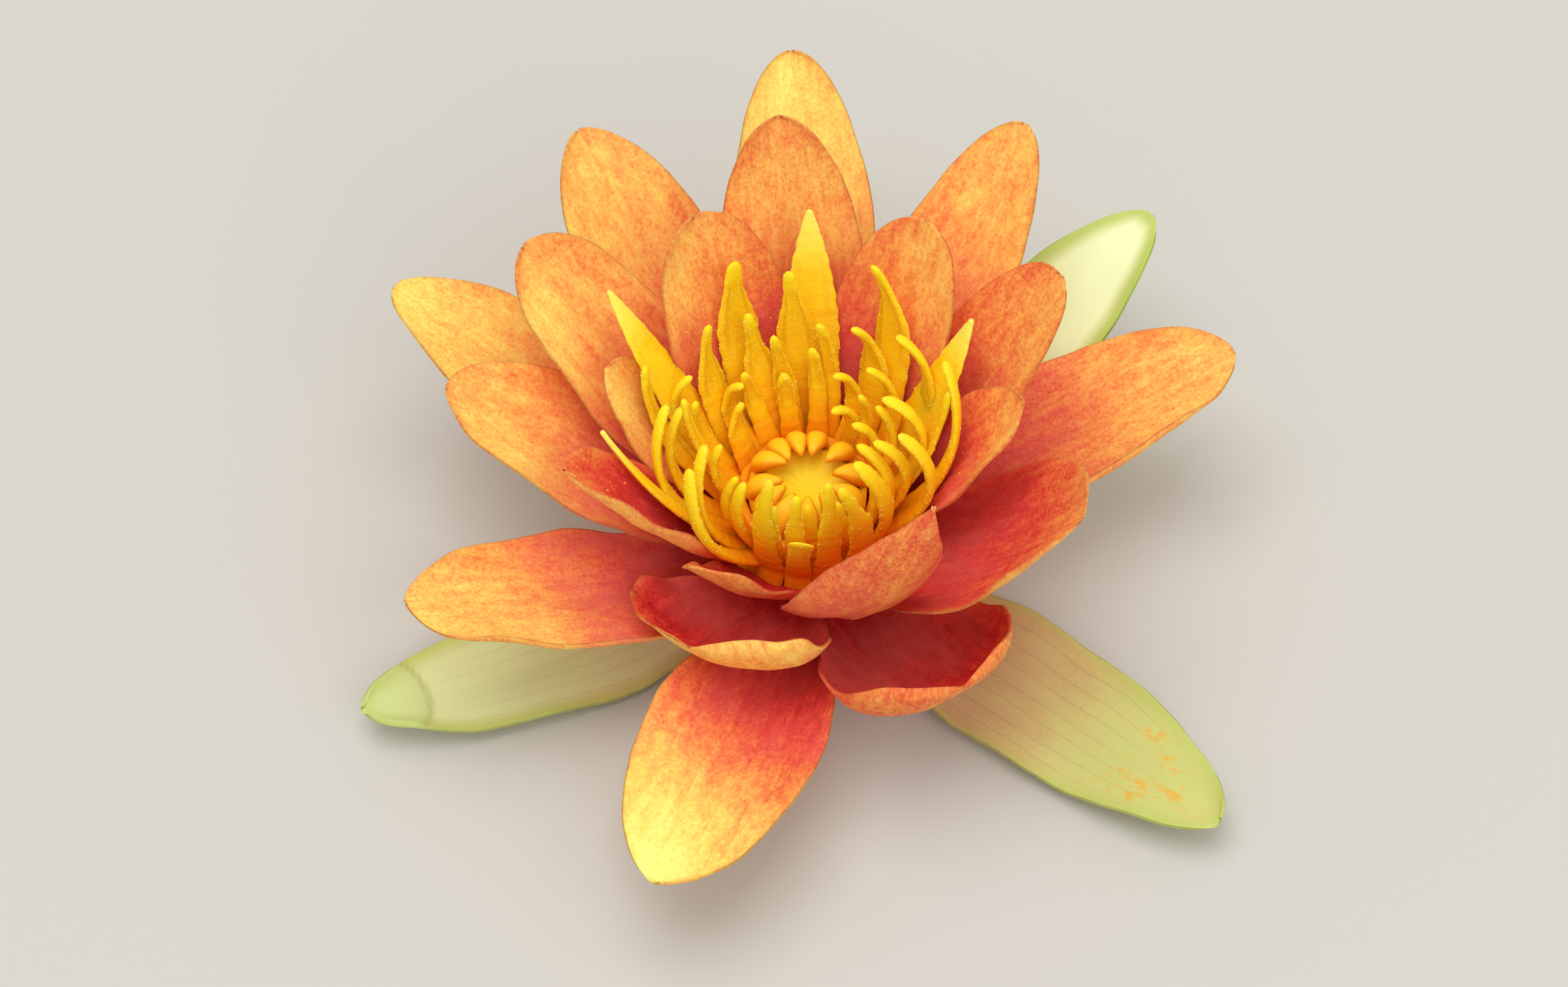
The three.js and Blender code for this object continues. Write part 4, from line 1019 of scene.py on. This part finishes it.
def stamen_line(row, az, tip_az, reach, height, width, finger, hook, kind, power, seed):
    """Points and sizes along one stamen, from its foot on the collar to its tip."""
    draw = np.random.default_rng(seed)
    foot, b = stamen_bend(row, az, tip_az, reach, height, hook, power)
    u = crowded(LINE_STEPS, 1.35)
    centre = midrib_points(b, foot, u)
    _, side, face = midrib_frame(b, u)
    mm = u * b["length"]
    ripple = np.zeros_like(u)
    for waves in (0.55, 0.9, 1.6):
        ripple += np.sin(2 * math.pi * waves * mm + draw.uniform(0, ANY_PHASE)) / 3
    lower = 1 - smooth((u - 0.3) / 0.3)
    wide, thick, anther, end = strap_form(kind, u, width, finger)
    into_end = np.clip(1 - (1 - u) * b["length"] / (end * 0.7), 0, 1)
    round_end = np.maximum(np.sqrt(np.maximum(0, 1 - into_end**2)), THINNEST)
    ragged = 1 + 0.03 * np.sin(2 * math.pi * mm / 2.3 + draw.uniform(0, ANY_PHASE)) + 0.025 * ripple
    half_wide = wide / 2 * ragged * round_end
    half_thick = thick / 2 * (1 + 0.12 * ripple * lower) * round_end
    line = dict(
        centre=centre, side=side, face=face, half_wide=half_wide * MM, half_thick=half_thick * MM,
        anther=anther, along=u, along_mm=mm, petaloid=np.full_like(u, float(kind == "petal")),
        own=np.full_like(u, seed * STAMEN_NOISE_STEP))
    if row == "outer":
        add_root(line, az, foot)
    return line


def add_root(line, az, foot):
    """Lets an outer stamen run on downwards, over the collar and the top of the receptacle."""
    end = place_at(az, ROOT_RADIUS, ROOT_HEIGHT)
    share = (np.arange(ROOT_STEPS) / ROOT_STEPS)[:, None]
    root = {"centre": end * (1 - share) + foot * share, "face": np.tile(-place_at(az, 1, 0), (ROOT_STEPS, 1))}
    for key, values in line.items():
        before = root.get(key, np.repeat(values[:1], ROOT_STEPS, axis=0))
        line[key] = np.concatenate([before, values])


def style_line(az, seed):
    """Points and sizes along one style: it rises from the band and bends in, its point down on the disc."""
    draw = np.random.default_rng(STYLE_SEED + seed)
    foot = place_at(az, STYLE_FOOT_RADIUS, STYLE_BAND_TOP - 0.5)
    bend = dict(az=az, length=STYLE_LENGTH, rise=82, tip=190, power=0.75, lean=draw.uniform(-12, 12))
    u = crowded(STYLE_STEPS, 1.35)
    centre = midrib_points(bend, foot, u)
    _, side, face = midrib_frame(bend, u)
    point = (1 - np.clip((u - 0.35) / 0.65, 0, 1) ** 3) ** 0.7
    swell = 0.7 + 0.3 * np.sin(math.pi * np.minimum(u / 0.8, 1))
    half_wide = STYLE_HALF_WIDTH * swell * np.maximum(point, 0.05)
    half_thick = (0.85 + 0.25 * np.sin(math.pi * np.minimum(u / 0.7, 1))) * np.maximum(point, 0.08) ** 0.8
    nothing = np.zeros_like(u)
    return dict(
        centre=centre, side=side, face=face, half_wide=half_wide * MM, half_thick=half_thick * MM,
        anther=nothing, along=u, along_mm=u * bend["length"], petaloid=nothing,
        own=nothing + seed * STAMEN_NOISE_STEP)


def guide_object(name, lines):
    """One mesh of open chains of points, with each point's sizes as attributes, in metres."""
    points, edges = [], []
    for line in lines:
        start = len(points)
        points += [tuple(p) for p in about_axis(line["centre"])]
        edges += [(start + k, start + k + 1) for k in range(len(line["centre"]) - 1)]
    mesh = bpy.data.meshes.new(name)
    mesh.from_pydata(points, edges, [])
    for key in LINE_FIELDS:
        store_values(mesh, key, np.concatenate([line[key] for line in lines]))
    guide = bpy.data.objects.new(name, mesh)
    bpy.context.scene.collection.objects.link(guide)
    return guide


# ---------------------------------------------------------------- turned forms
def turned_mesh(profile, sides, closed=False):
    """Points and faces of a solid turned about the axis, from [radius, height] pairs up its outside. A closed
    profile goes round the section of a ring and comes back to its start."""
    points, faces, rings = [], [], []
    for r, z in profile:
        if r < 1e-6:
            rings.append([len(points)])
            points.append((0.0, 0.0, z))
        else:
            rings.append([len(points) + k for k in range(sides)])
            turns = [2 * math.pi * k / sides for k in range(sides)]
            points += [(r * math.cos(turn), r * math.sin(turn), z) for turn in turns]
    pairs = list(zip(rings, rings[1:]))
    if closed:
        pairs.append((rings[-1], rings[0]))
    for low, high in pairs:
        for k in range(sides):
            n = (k + 1) % sides
            if len(low) == 1:
                faces.append((low[0], high[n], high[k]))
            elif len(high) == 1:
                faces.append((low[k], low[n], high[0]))
            else:
                faces.append((low[k], low[n], high[n], high[k]))
    return np.array(points), faces


def collar_profile():
    """Section of the ring that the stamens stand on, as radius and height round it."""
    inside = STYLE_BAND_RADIUS + SEAT_GAP
    top_radius = COLLAR_RADIUS - COLLAR_TAPER
    profile = [(inside, COLLAR_BASE), (COLLAR_RADIUS - 0.3, COLLAR_BASE), (COLLAR_RADIUS, COLLAR_BASE + 0.4)]
    for t in (0.25, 0.5, 0.75):
        profile.append((COLLAR_RADIUS - COLLAR_TAPER * t, COLLAR_BASE + (COLLAR_TOP - COLLAR_BASE) * t))
    profile += [(top_radius + 0.03, COLLAR_TOP - 0.2), (top_radius - 0.2, COLLAR_TOP), (inside, COLLAR_TOP)]
    return profile


def band_profile():
    """Section of the ring that the styles grow from, as radius and height round it."""
    inside, outside, top = DISC_RADIUS + SEAT_GAP, STYLE_BAND_RADIUS, STYLE_BAND_TOP
    return [
        (inside, COLLAR_BASE), (outside, COLLAR_BASE), (outside, top - 0.3), (outside - 0.2, top - 0.05),
        (outside - 0.45, top), (inside, top - 0.1)]


def disc_rays(turns):
    """How strong a ray is at each turn about the disc: one runs out between each two styles."""
    rays = np.zeros(len(turns))
    for az, next_az in zip(STYLES, STYLES[1:] + STYLES[:1]):
        between = (az + (next_az - az) % 360 / 2) % 360
        off = (np.degrees(turns) - between + 180) % 360 - 180
        rays = np.maximum(rays, np.exp(-((off / RAY_WIDTH) ** 2)))
    return rays


def disc_mesh():
    """Points, faces and painted light of the disc: for each point, how much of the lighter tone of painted
    light it takes. It takes most in the middle and on the rays, less towards the rim between and under the
    styles, where it is painted shade, and least on the side.
    """
    turns = np.arange(DISC_SIDES) * 2 * math.pi / DISC_SIDES
    rays = disc_rays(turns)
    points, painted_light, faces = [(0, 0, DISC_TOP - BOWL_EDGE - BOWL_DEPTH)], [1.0], []
    for i in range(1, DISC_RINGS + 1):
        r = DISC_RADIUS * i / DISC_RINGS
        bowl = DISC_TOP - BOWL_EDGE - BOWL_DEPTH * (1 - min(1, r / BOWL_RADIUS) ** 2.4)
        drop = RIM_DROP * float(smooth((r - RIM_START) / 0.9)) ** 1.5
        middle = 1 - float(smooth((r - 1.5) / 4.0))
        for turn, ray in zip(turns, rays):
            relief = RAY_HEIGHT * ray * float(smooth(r / 3.2)) * (1 - float(smooth((r - 5.4) / 0.8)))
            points.append((r * math.cos(turn), r * math.sin(turn), bowl - drop + relief))
            painted_light.append(0.2 * ray * float(smooth(r / 2.0)) + 0.5 + 0.5 * middle)
    for k in range(DISC_SIDES):
        faces.append((0, 1 + k, 1 + (k + 1) % DISC_SIDES))
    for i in range(DISC_RINGS - 1):
        start = 1 + i * DISC_SIDES
        for k in range(DISC_SIDES):
            a, n = start + k, start + (k + 1) % DISC_SIDES
            faces.append((a, a + DISC_SIDES, n + DISC_SIDES, n))
    # straight down from the rim to the flat underside
    last, base = 1 + (DISC_RINGS - 1) * DISC_SIDES, len(points)
    for k in range(DISC_SIDES):
        points.append((*points[last + k][:2], COLLAR_BASE))
        # the side is painted shade
        painted_light.append(0.1)
        faces.append((last + k, base + k, base + (k + 1) % DISC_SIDES, last + (k + 1) % DISC_SIDES))
    faces.append(tuple(base + k for k in reversed(range(DISC_SIDES))))
    return points, faces, painted_light


# ---------------------------------------------------------------- settings
def colour_setting(name, hex_colour, description):
    return bpy.props.FloatVectorProperty(
        name=name, description=description, subtype="COLOR", size=4, min=0, max=1, default=linear(hex_colour))


def length_setting(name, default, description):
    return bpy.props.FloatProperty(
        name=name, description=description, default=default * MM, min=0, unit="LENGTH", precision=5)


def strength_setting(name, default, description):
    return bpy.props.FloatProperty(name=name, description=description, default=default, min=0, max=2)


def share_setting(name, default, description):
    return bpy.props.FloatProperty(
        name=name, description=description, default=default, min=0, max=1, subtype="FACTOR")


class WaterLilyPetalSettings(bpy.types.PropertyGroup):
    thick_base: length_setting("Base thickness", 1.1, "Thickness where a petal leaves the receptacle")
    thick_middle: length_setting("Middle thickness", 0.75, "Thickness at the middle of a petal")
    thick_edge: length_setting("Edge thickness", 0.32, "Thickness at a petal's edge")
    rib_height: length_setting("Rib height", 0.03, "Height of the fine ribs along a petal")
    glow: share_setting("Glow", 0.3, "How much light passes through the tissue")
    speck: strength_setting("Specks", 0.62, "Strength of the fine red specks")
    mottle: strength_setting("Mottles", 0.42, "Strength of the mottles of one to three millimetres")
    patch: strength_setting("Patches", 0.35, "Strength of the broad lighter patches")
    streak: strength_setting("Streaks", 0.3, "Strength of the lengthwise streaks")
    cream: colour_setting("Cream", "#F2EE84", "Palest colour, at the tips of the outer petals")
    yellow: colour_setting("Yellow", "#FADC6A", "Yellow of the outer petals")
    amber: colour_setting("Amber", "#FABA5C", "Yellow orange of the upper petals")
    orange: colour_setting("Orange", "#F2954A", "Orange of the middle of a petal")
    coral: colour_setting("Coral", "#E6683E", "Orange red towards the base")
    red: colour_setting("Red", "#D93730", "Red near the base")
    crimson: colour_setting("Crimson", "#B80E18", "Deep red at the base and in the cupped petals")
    rose: colour_setting("Rose", "#E8746A", "Rose tint in the middle of a petal")
    edge_line: colour_setting("Edge line", "#A83A20", "Thin darker line along a petal's edge")


class WaterLilySepalSettings(bpy.types.PropertyGroup):
    thick_base: length_setting("Base thickness", 1.2, "Thickness where a sepal leaves the receptacle")
    thick_middle: length_setting("Middle thickness", 0.95, "Thickness at the middle of a sepal")
    thick_edge: length_setting("Edge thickness", 0.4, "Thickness at a sepal's edge")
    rib_height: length_setting("Rib height", 0.03, "Height of the fine ribs along a sepal")
    green: colour_setting("Green", "#C6CA72", "Pale green of the upper half")
    straw: colour_setting("Straw", "#D0C676", "Yellow green of the middle")
    sand: colour_setting("Sand", "#CEB070", "Sand colour towards the base")
    tan: colour_setting("Tan", "#C99A6C", "Rosy tan near the base")
    lime: colour_setting("Lime", "#B6CC66", "Lime green of the margins")
    pale: colour_setting("Pale", "#EAF3BE", "Pale green of the upright sepal's middle")
    flap: colour_setting("Flap", "#C2D384", "Light green of the tip that is folded over")
    # painted shade where the folded tip lies on the sepal
    seam: colour_setting("Seam", "#8A9A50", "Thin dark line where the folded tip lies on the sepal")
    vein: colour_setting("Vein", "#A08E5E", "Thin dark veins")
    vein_strength: share_setting("Vein strength", 0.42, "How dark the veins show")
    rust: colour_setting("Rust", "#E6B036", "Rusty yellow blotches near the tip")


class WaterLilyStamenSettings(bpy.types.PropertyGroup):
    sides: bpy.props.IntProperty(
        name="Sides", description="Sides of a strap's section", default=28, min=6, max=64)
    groove: share_setting("Groove", 0.4, "Depth of an anther's hollow, as a share of its thickness")
    ridge: share_setting("Ridge", 0.28, "Height of an anther's two ridges, as a share of its thickness")
    amber: colour_setting("Amber", "#FA940E", "Deep orange at the foot")
    orange: colour_setting("Orange", "#FFAE10", "Orange of the lower strap")
    yellow: colour_setting("Yellow", "#FFCC14", "Yellow of the upper strap")
    bright: colour_setting("Bright", "#FFE120", "Bright yellow of the tips")
    pale_tip: colour_setting("Pale tip", "#F4EA66", "Pale green yellow tips of the petal-like stamens")
    ochre: colour_setting("Ochre", "#E8A810", "Dull ochre of an anther's inner face")
    slit: colour_setting("Slit", "#C88408", "Dark line where an anther opens")


class WaterLilyPollenSettings(bpy.types.PropertyGroup):
    per_mm2: bpy.props.FloatProperty(
        name="Grains per mm²", description="Grains on a square millimetre where the dust lies thickest",
        default=3.2, min=0, max=20)
    radius: length_setting("Grain radius", 0.075, "Radius of a grain, drawn as a clump so that it shows")
    seed: bpy.props.IntProperty(name="Seed", description="Which scatter of grains is made", default=3, min=0)
    pollen: colour_setting("Pollen", "#FFD93C", "Cream yellow of the grains")
    pollen_pale: colour_setting("Pale pollen", "#FFF08A", "Palest grains")


class WaterLilyCentreSettings(bpy.types.PropertyGroup):
    # the disc hollow colour is painted shade towards the disc's rim, and the disc crown colour a lighter tone
    # that is painted light on its middle and rays
    disc_shade_tone: colour_setting("Disc hollow", "#FDC812", "Golden orange in the hollows of the disc")
    disc_lit_tone: colour_setting("Disc crown", "#FFDC1A", "Golden yellow of the disc's middle and rays")
    # the style crease colour is painted shade at the styles' edges and undersides, and also the golden top of
    # the stalk; the style crown colour is painted light on their upper faces
    style_shade_and_stalk_top: colour_setting("Style crease", "#EC9212", "Brownish orange at the edges of the styles")
    style_lit_tone: colour_setting("Style crown", "#FFC620", "Golden orange of the styles")
    stalk_dark: colour_setting("Stalk dark", "#8E9A50", "Olive streaks of the stalk")
    stalk_light: colour_setting("Stalk light", "#B6BC78", "Pale olive of the stalk")


class WaterLilyStageSettings(bpy.types.PropertyGroup):
    floor: colour_setting("Floor", "#C9C6BF", "Pale floor")
    world: colour_setting("Sky colour", "#F7F6F3", "Even light from all round")
    distance: length_setting("Camera distance", 460, "From the camera to the heart of the flower")
    elevation: bpy.props.FloatProperty(
        name="Camera elevation", description="How steeply the camera looks down", default=math.radians(57),
        subtype="ANGLE")
    key_power: bpy.props.FloatProperty(
        name="Key light", description="Power of the overhead light, watts", default=4.3)
    sky: bpy.props.FloatProperty(name="Sky", description="Strength of the even light", default=0.72)


class WaterLilySettings(bpy.types.PropertyGroup):
    petals: bpy.props.PointerProperty(type=WaterLilyPetalSettings)
    sepals: bpy.props.PointerProperty(type=WaterLilySepalSettings)
    stamens: bpy.props.PointerProperty(type=WaterLilyStamenSettings)
    pollen: bpy.props.PointerProperty(type=WaterLilyPollenSettings)
    centre: bpy.props.PointerProperty(type=WaterLilyCentreSettings)
    stage: bpy.props.PointerProperty(type=WaterLilyStageSettings)


# ---------------------------------------------------------------- operators
class WATERLILY_OT_sepals(bpy.types.Operator):
    """Builds the four sepals under the petals"""

    bl_idname = "water_lily.sepals"
    bl_label = "Sepals"

    def execute(self, context):
        s = context.scene.water_lily.sepals
        material = sepal_material(s)
        for k, (name, b) in enumerate(SEPALS.items()):
            look = SEPAL_LOOKS[name]
            fields = sepal_fields(look)
            piece = blade_piece(f"{name}_skin", b, SEPAL_SEED + k, fields, s, flap=look["flap"])
            dress(piece, material, "sepal", name)
        return {"FINISHED"}


class WATERLILY_OT_petals(bpy.types.Operator):
    """Builds the petals of the outer, middle and inner whorls"""

    bl_idname = "water_lily.petals"
    bl_label = "Petals"

    def execute(self, context):
        s = context.scene.water_lily.petals
        material = petal_material(s)
        for k, (name, b) in enumerate(PETALS.items()):
            look = {**EVEN_FLUSH, **FLUSH[name]}
            fields = petal_fields(look)
            piece = blade_piece(f"{name}_skin", b, PETAL_SEED + k, fields, s, roll=look["roll"])
            dress(piece, material, "_".join(name.split("_")[:2]), name)
        return {"FINISHED"}


class WATERLILY_OT_stamens(bpy.types.Operator):
    """Builds the stamens and the collar that they stand on"""

    bl_idname = "water_lily.stamens"
    bl_label = "Stamens"

    def execute(self, context):
        s = context.scene.water_lily.stamens
        lines = [stamen_line(*row, seed=k) for k, row in enumerate(STAMENS)]
        guide = guide_object("stamen_lines", lines)
        piece = bake_nodes("stamens", guide, sweep_tree(stamen_material(s)), {
            "Sides": s.sides, "Groove depth share": s.groove, "Ridge height share": s.ridge})
        along, across = read_values(piece, "along"), np.abs(read_values(piece, "across"))
        edges = 0.12 + 0.88 * smooth((across - 0.7) / 0.25)
        dust = smooth((along - 0.3) / 0.25) * edges + 0.5 * smooth((along - 0.93) / 0.05)
        store_values(piece.data, "dust", dust)
        dress(piece, None, "stamen", "stamen_ring")
        self.add_collar(s)
        return {"FINISHED"}

    def add_collar(self, s):
        points, faces = turned_mesh(collar_profile(), RING_SIDES, closed=True)
        piece = new_piece("stamen_collar", about_axis(points), faces, {"painted_light": np.full(len(points), 0.4)})
        dress(piece, golden_material("living_collar_tissue", s.amber, s.orange, 0.42), "stamen")


class WATERLILY_OT_pollen(bpy.types.Operator):
    """Strews pollen along the edges of the stamens and on the inner petals"""

    bl_idname = "water_lily.pollen"
    bl_label = "Pollen"

    def execute(self, context):
        s = context.scene.water_lily.pollen
        points, faces, dust = [], [], []
        dusty = ["stamens"] + [f"{name}_skin" for name in PETALS if "dust" in FLUSH[name]]
        for name in dusty:
            piece, start = bpy.data.objects[name], len(points)
            points += [tuple(v.co) for v in piece.data.vertices]
            faces += [tuple(start + k for k in polygon.vertices) for polygon in piece.data.polygons]
            dust.append(read_values(piece, "dust"))
        guide = new_piece("dusty_surface", points, faces, {"dust": np.concatenate(dust)})
        piece = bake_nodes("pollen", guide, pollen_tree(pollen_material(s)), {
            "Grains per square metre": s.per_mm2 / MM**2, "Grain radius": s.radius, "Seed": s.seed})
        dress(piece, None, "stamen")
        return {"FINISHED"}


class WATERLILY_OT_styles(bpy.types.Operator):
    """Builds the fat, pointed styles that bend in over the disc, and the band that they grow from"""

    bl_idname = "water_lily.styles"
    bl_label = "Styles"

    def execute(self, context):
        s = context.scene.water_lily.centre
        material = golden_material("living_style_tissue", s.style_shade_and_stalk_top, s.style_lit_tone, 0.38)
        guide = guide_object("style_lines", [style_line(az, seed=k) for k, az in enumerate(STYLES)])
        piece = bake_nodes("styles", guide, sweep_tree(material), {
            "Sides": STYLE_SIDES, "Groove depth share": 0.0, "Ridge height share": 0.0})
        along, across = read_values(piece, "along"), np.abs(read_values(piece, "across"))
        # painted light on the styles' upper faces, fading to painted shade at their edges, on their
        # undersides and towards their points
        outer_face = smooth((0.5 - read_values(piece, "inner")) / 1.2)
        painted_light = outer_face * (1 - smooth((across - 0.45) / 0.5)) * (1 - smooth((along - 0.86) / 0.14))
        store_values(piece.data, "painted_light", 0.1 + 0.95 * painted_light)
        dress(piece, None, "style", "style_ring")
        self.add_band(material)
        return {"FINISHED"}

    def add_band(self, material):
        points, faces = turned_mesh(band_profile(), RING_SIDES, closed=True)
        piece = new_piece("style_band", about_axis(points), faces, {"painted_light": np.full(len(points), 0.45)})
        dress(piece, material, "style")


class WATERLILY_OT_stigma_disc(bpy.types.Operator):
    """Builds the golden disc, a shallow bowl with soft rays that run out between the styles"""

    bl_idname = "water_lily.stigma_disc"
    bl_label = "Stigma disc"

    def execute(self, context):
        s = context.scene.water_lily.centre
        points, faces, painted_light = disc_mesh()
        piece = new_piece("disc", about_axis(points), faces, {"painted_light": painted_light})
        material = golden_material("living_stigma_tissue", s.disc_shade_tone, s.disc_lit_tone, 0.4)
        dress(piece, material, "stigma_disc", "stigma_disc")
        return {"FINISHED"}


class WATERLILY_OT_receptacle(bpy.types.Operator):
    """Builds the receptacle and the cut stub of the stalk"""

    bl_idname = "water_lily.receptacle"
    bl_label = "Receptacle"

    def execute(self, context):
        s = context.scene.water_lily.centre
        points, faces = turned_mesh(RECEPTACLE, STALK_SIDES)
        piece = new_piece("receptacle_skin", about_axis(points), faces)
        dress(piece, stalk_material(s), "receptacle", "receptacle")
        return {"FINISHED"}


class WATERLILY_OT_stage(bpy.types.Operator):
    """Makes the floor, the soft studio light and the camera"""

    bl_idname = "water_lily.stage"
    bl_label = "Stage"

    def execute(self, context):
        s = context.scene.water_lily.stage
        corners = [(x * FLOOR_REACH, y * FLOOR_REACH, 0) for x, y in ((-1, -1), (1, -1), (1, 1), (-1, 1))]
        floor = new_piece("floor", corners, [(0, 1, 2, 3)])
        floor.data.materials.append(floor_material(s))
        world = bpy.data.worlds.new("soft_sky")
        context.scene.world = world
        world.use_nodes = True
        sky = world.node_tree.nodes["Background"].inputs
        sky["Color"].default_value = tuple(s.world)
        sky["Strength"].default_value = s.sky
        lights = (  # name, place and size in metres, power in watts
            ("overhead", (-0.1, 0.06, 0.9), 0.7, s.key_power),
            ("fill", (0.35, -0.5, 0.6), 0.6, s.key_power * FILL_SHARE),
        )
        heart = Vector((0, 0, HEART_HEIGHT * MM))
        for name, place, size, power in lights:
            data = bpy.data.lights.new(name, "AREA")
            data.size, data.energy = size, power
            lamp = bpy.data.objects.new(name, data)
            lamp.location = place
            lamp.rotation_mode = "QUATERNION"
            lamp.rotation_quaternion = (heart - Vector(place)).to_track_quat("-Z", "Y")
            context.scene.collection.objects.link(lamp)
        self.add_camera(context, s)
        context.scene.view_settings.view_transform = "Standard"
        return {"FINISHED"}

    def add_camera(self, context, s):
        data = bpy.data.cameras.new("camera")
        data.sensor_width = SENSOR_WIDTH
        data.lens = FOCAL_PIXELS * SENSOR_WIDTH / PICTURE[0]
        camera = bpy.data.objects.new("camera", data)
        heart = Vector((AXIS.x * MM, AXIS.y * MM, HEART_HEIGHT * MM))
        back = Vector((0, -math.cos(s.elevation), math.sin(s.elevation)))
        camera.location = heart + back * s.distance
        aim = (-back).to_track_quat("-Z", "Y").to_matrix().to_4x4()
        yaw = math.atan((HEART_PIXEL[0] - PICTURE[0] / 2) / FOCAL_PIXELS)
        pitch = math.atan((HEART_PIXEL[1] - PICTURE[1] / 2) / FOCAL_PIXELS)
        turn = aim @ Euler((pitch, yaw, 0)).to_matrix().to_4x4()
        camera.matrix_world = Matrix.Translation(camera.location) @ turn
        data.clip_start, data.clip_end = 0.01, 20
        context.scene.collection.objects.link(camera)
        context.scene.camera = camera


class WATERLILY_PT_panel(bpy.types.Panel):
    """Lists the flower's pieces and their settings"""

    bl_label = "Water Lily"
    bl_idname = "WATERLILY_PT_panel"
    bl_space_type = "VIEW_3D"
    bl_region_type = "UI"
    bl_category = "Water Lily"

    def draw(self, context):
        settings = context.scene.water_lily
        for operator in OPERATORS:
            self.layout.operator(operator.bl_idname)
        for group in ("petals", "sepals", "stamens", "pollen", "centre", "stage"):
            box = self.layout.box()
            box.label(text=group.capitalize())
            values = getattr(settings, group)
            for name in values.__annotations__:
                box.prop(values, name)


OPERATORS = (
    WATERLILY_OT_stage,
    WATERLILY_OT_sepals,
    WATERLILY_OT_petals,
    WATERLILY_OT_receptacle,
    WATERLILY_OT_stamens,
    WATERLILY_OT_pollen,
    WATERLILY_OT_styles,
    WATERLILY_OT_stigma_disc,
)
CLASSES = (
    WaterLilyPetalSettings,
    WaterLilySepalSettings,
    WaterLilyStamenSettings,
    WaterLilyPollenSettings,
    WaterLilyCentreSettings,
    WaterLilyStageSettings,
    WaterLilySettings,
    *OPERATORS,
    WATERLILY_PT_panel,
)


def register():
    for cls in CLASSES:
        bpy.utils.register_class(cls)
    bpy.types.Scene.water_lily = bpy.props.PointerProperty(type=WaterLilySettings)


def unregister():
    del bpy.types.Scene.water_lily
    for cls in reversed(CLASSES):
        bpy.utils.unregister_class(cls)


def main():
    register()
    for operator in OPERATORS:
        group, name = operator.bl_idname.split(".")
        getattr(getattr(bpy.ops, group), name)()


if __name__ == "__main__":
    main()
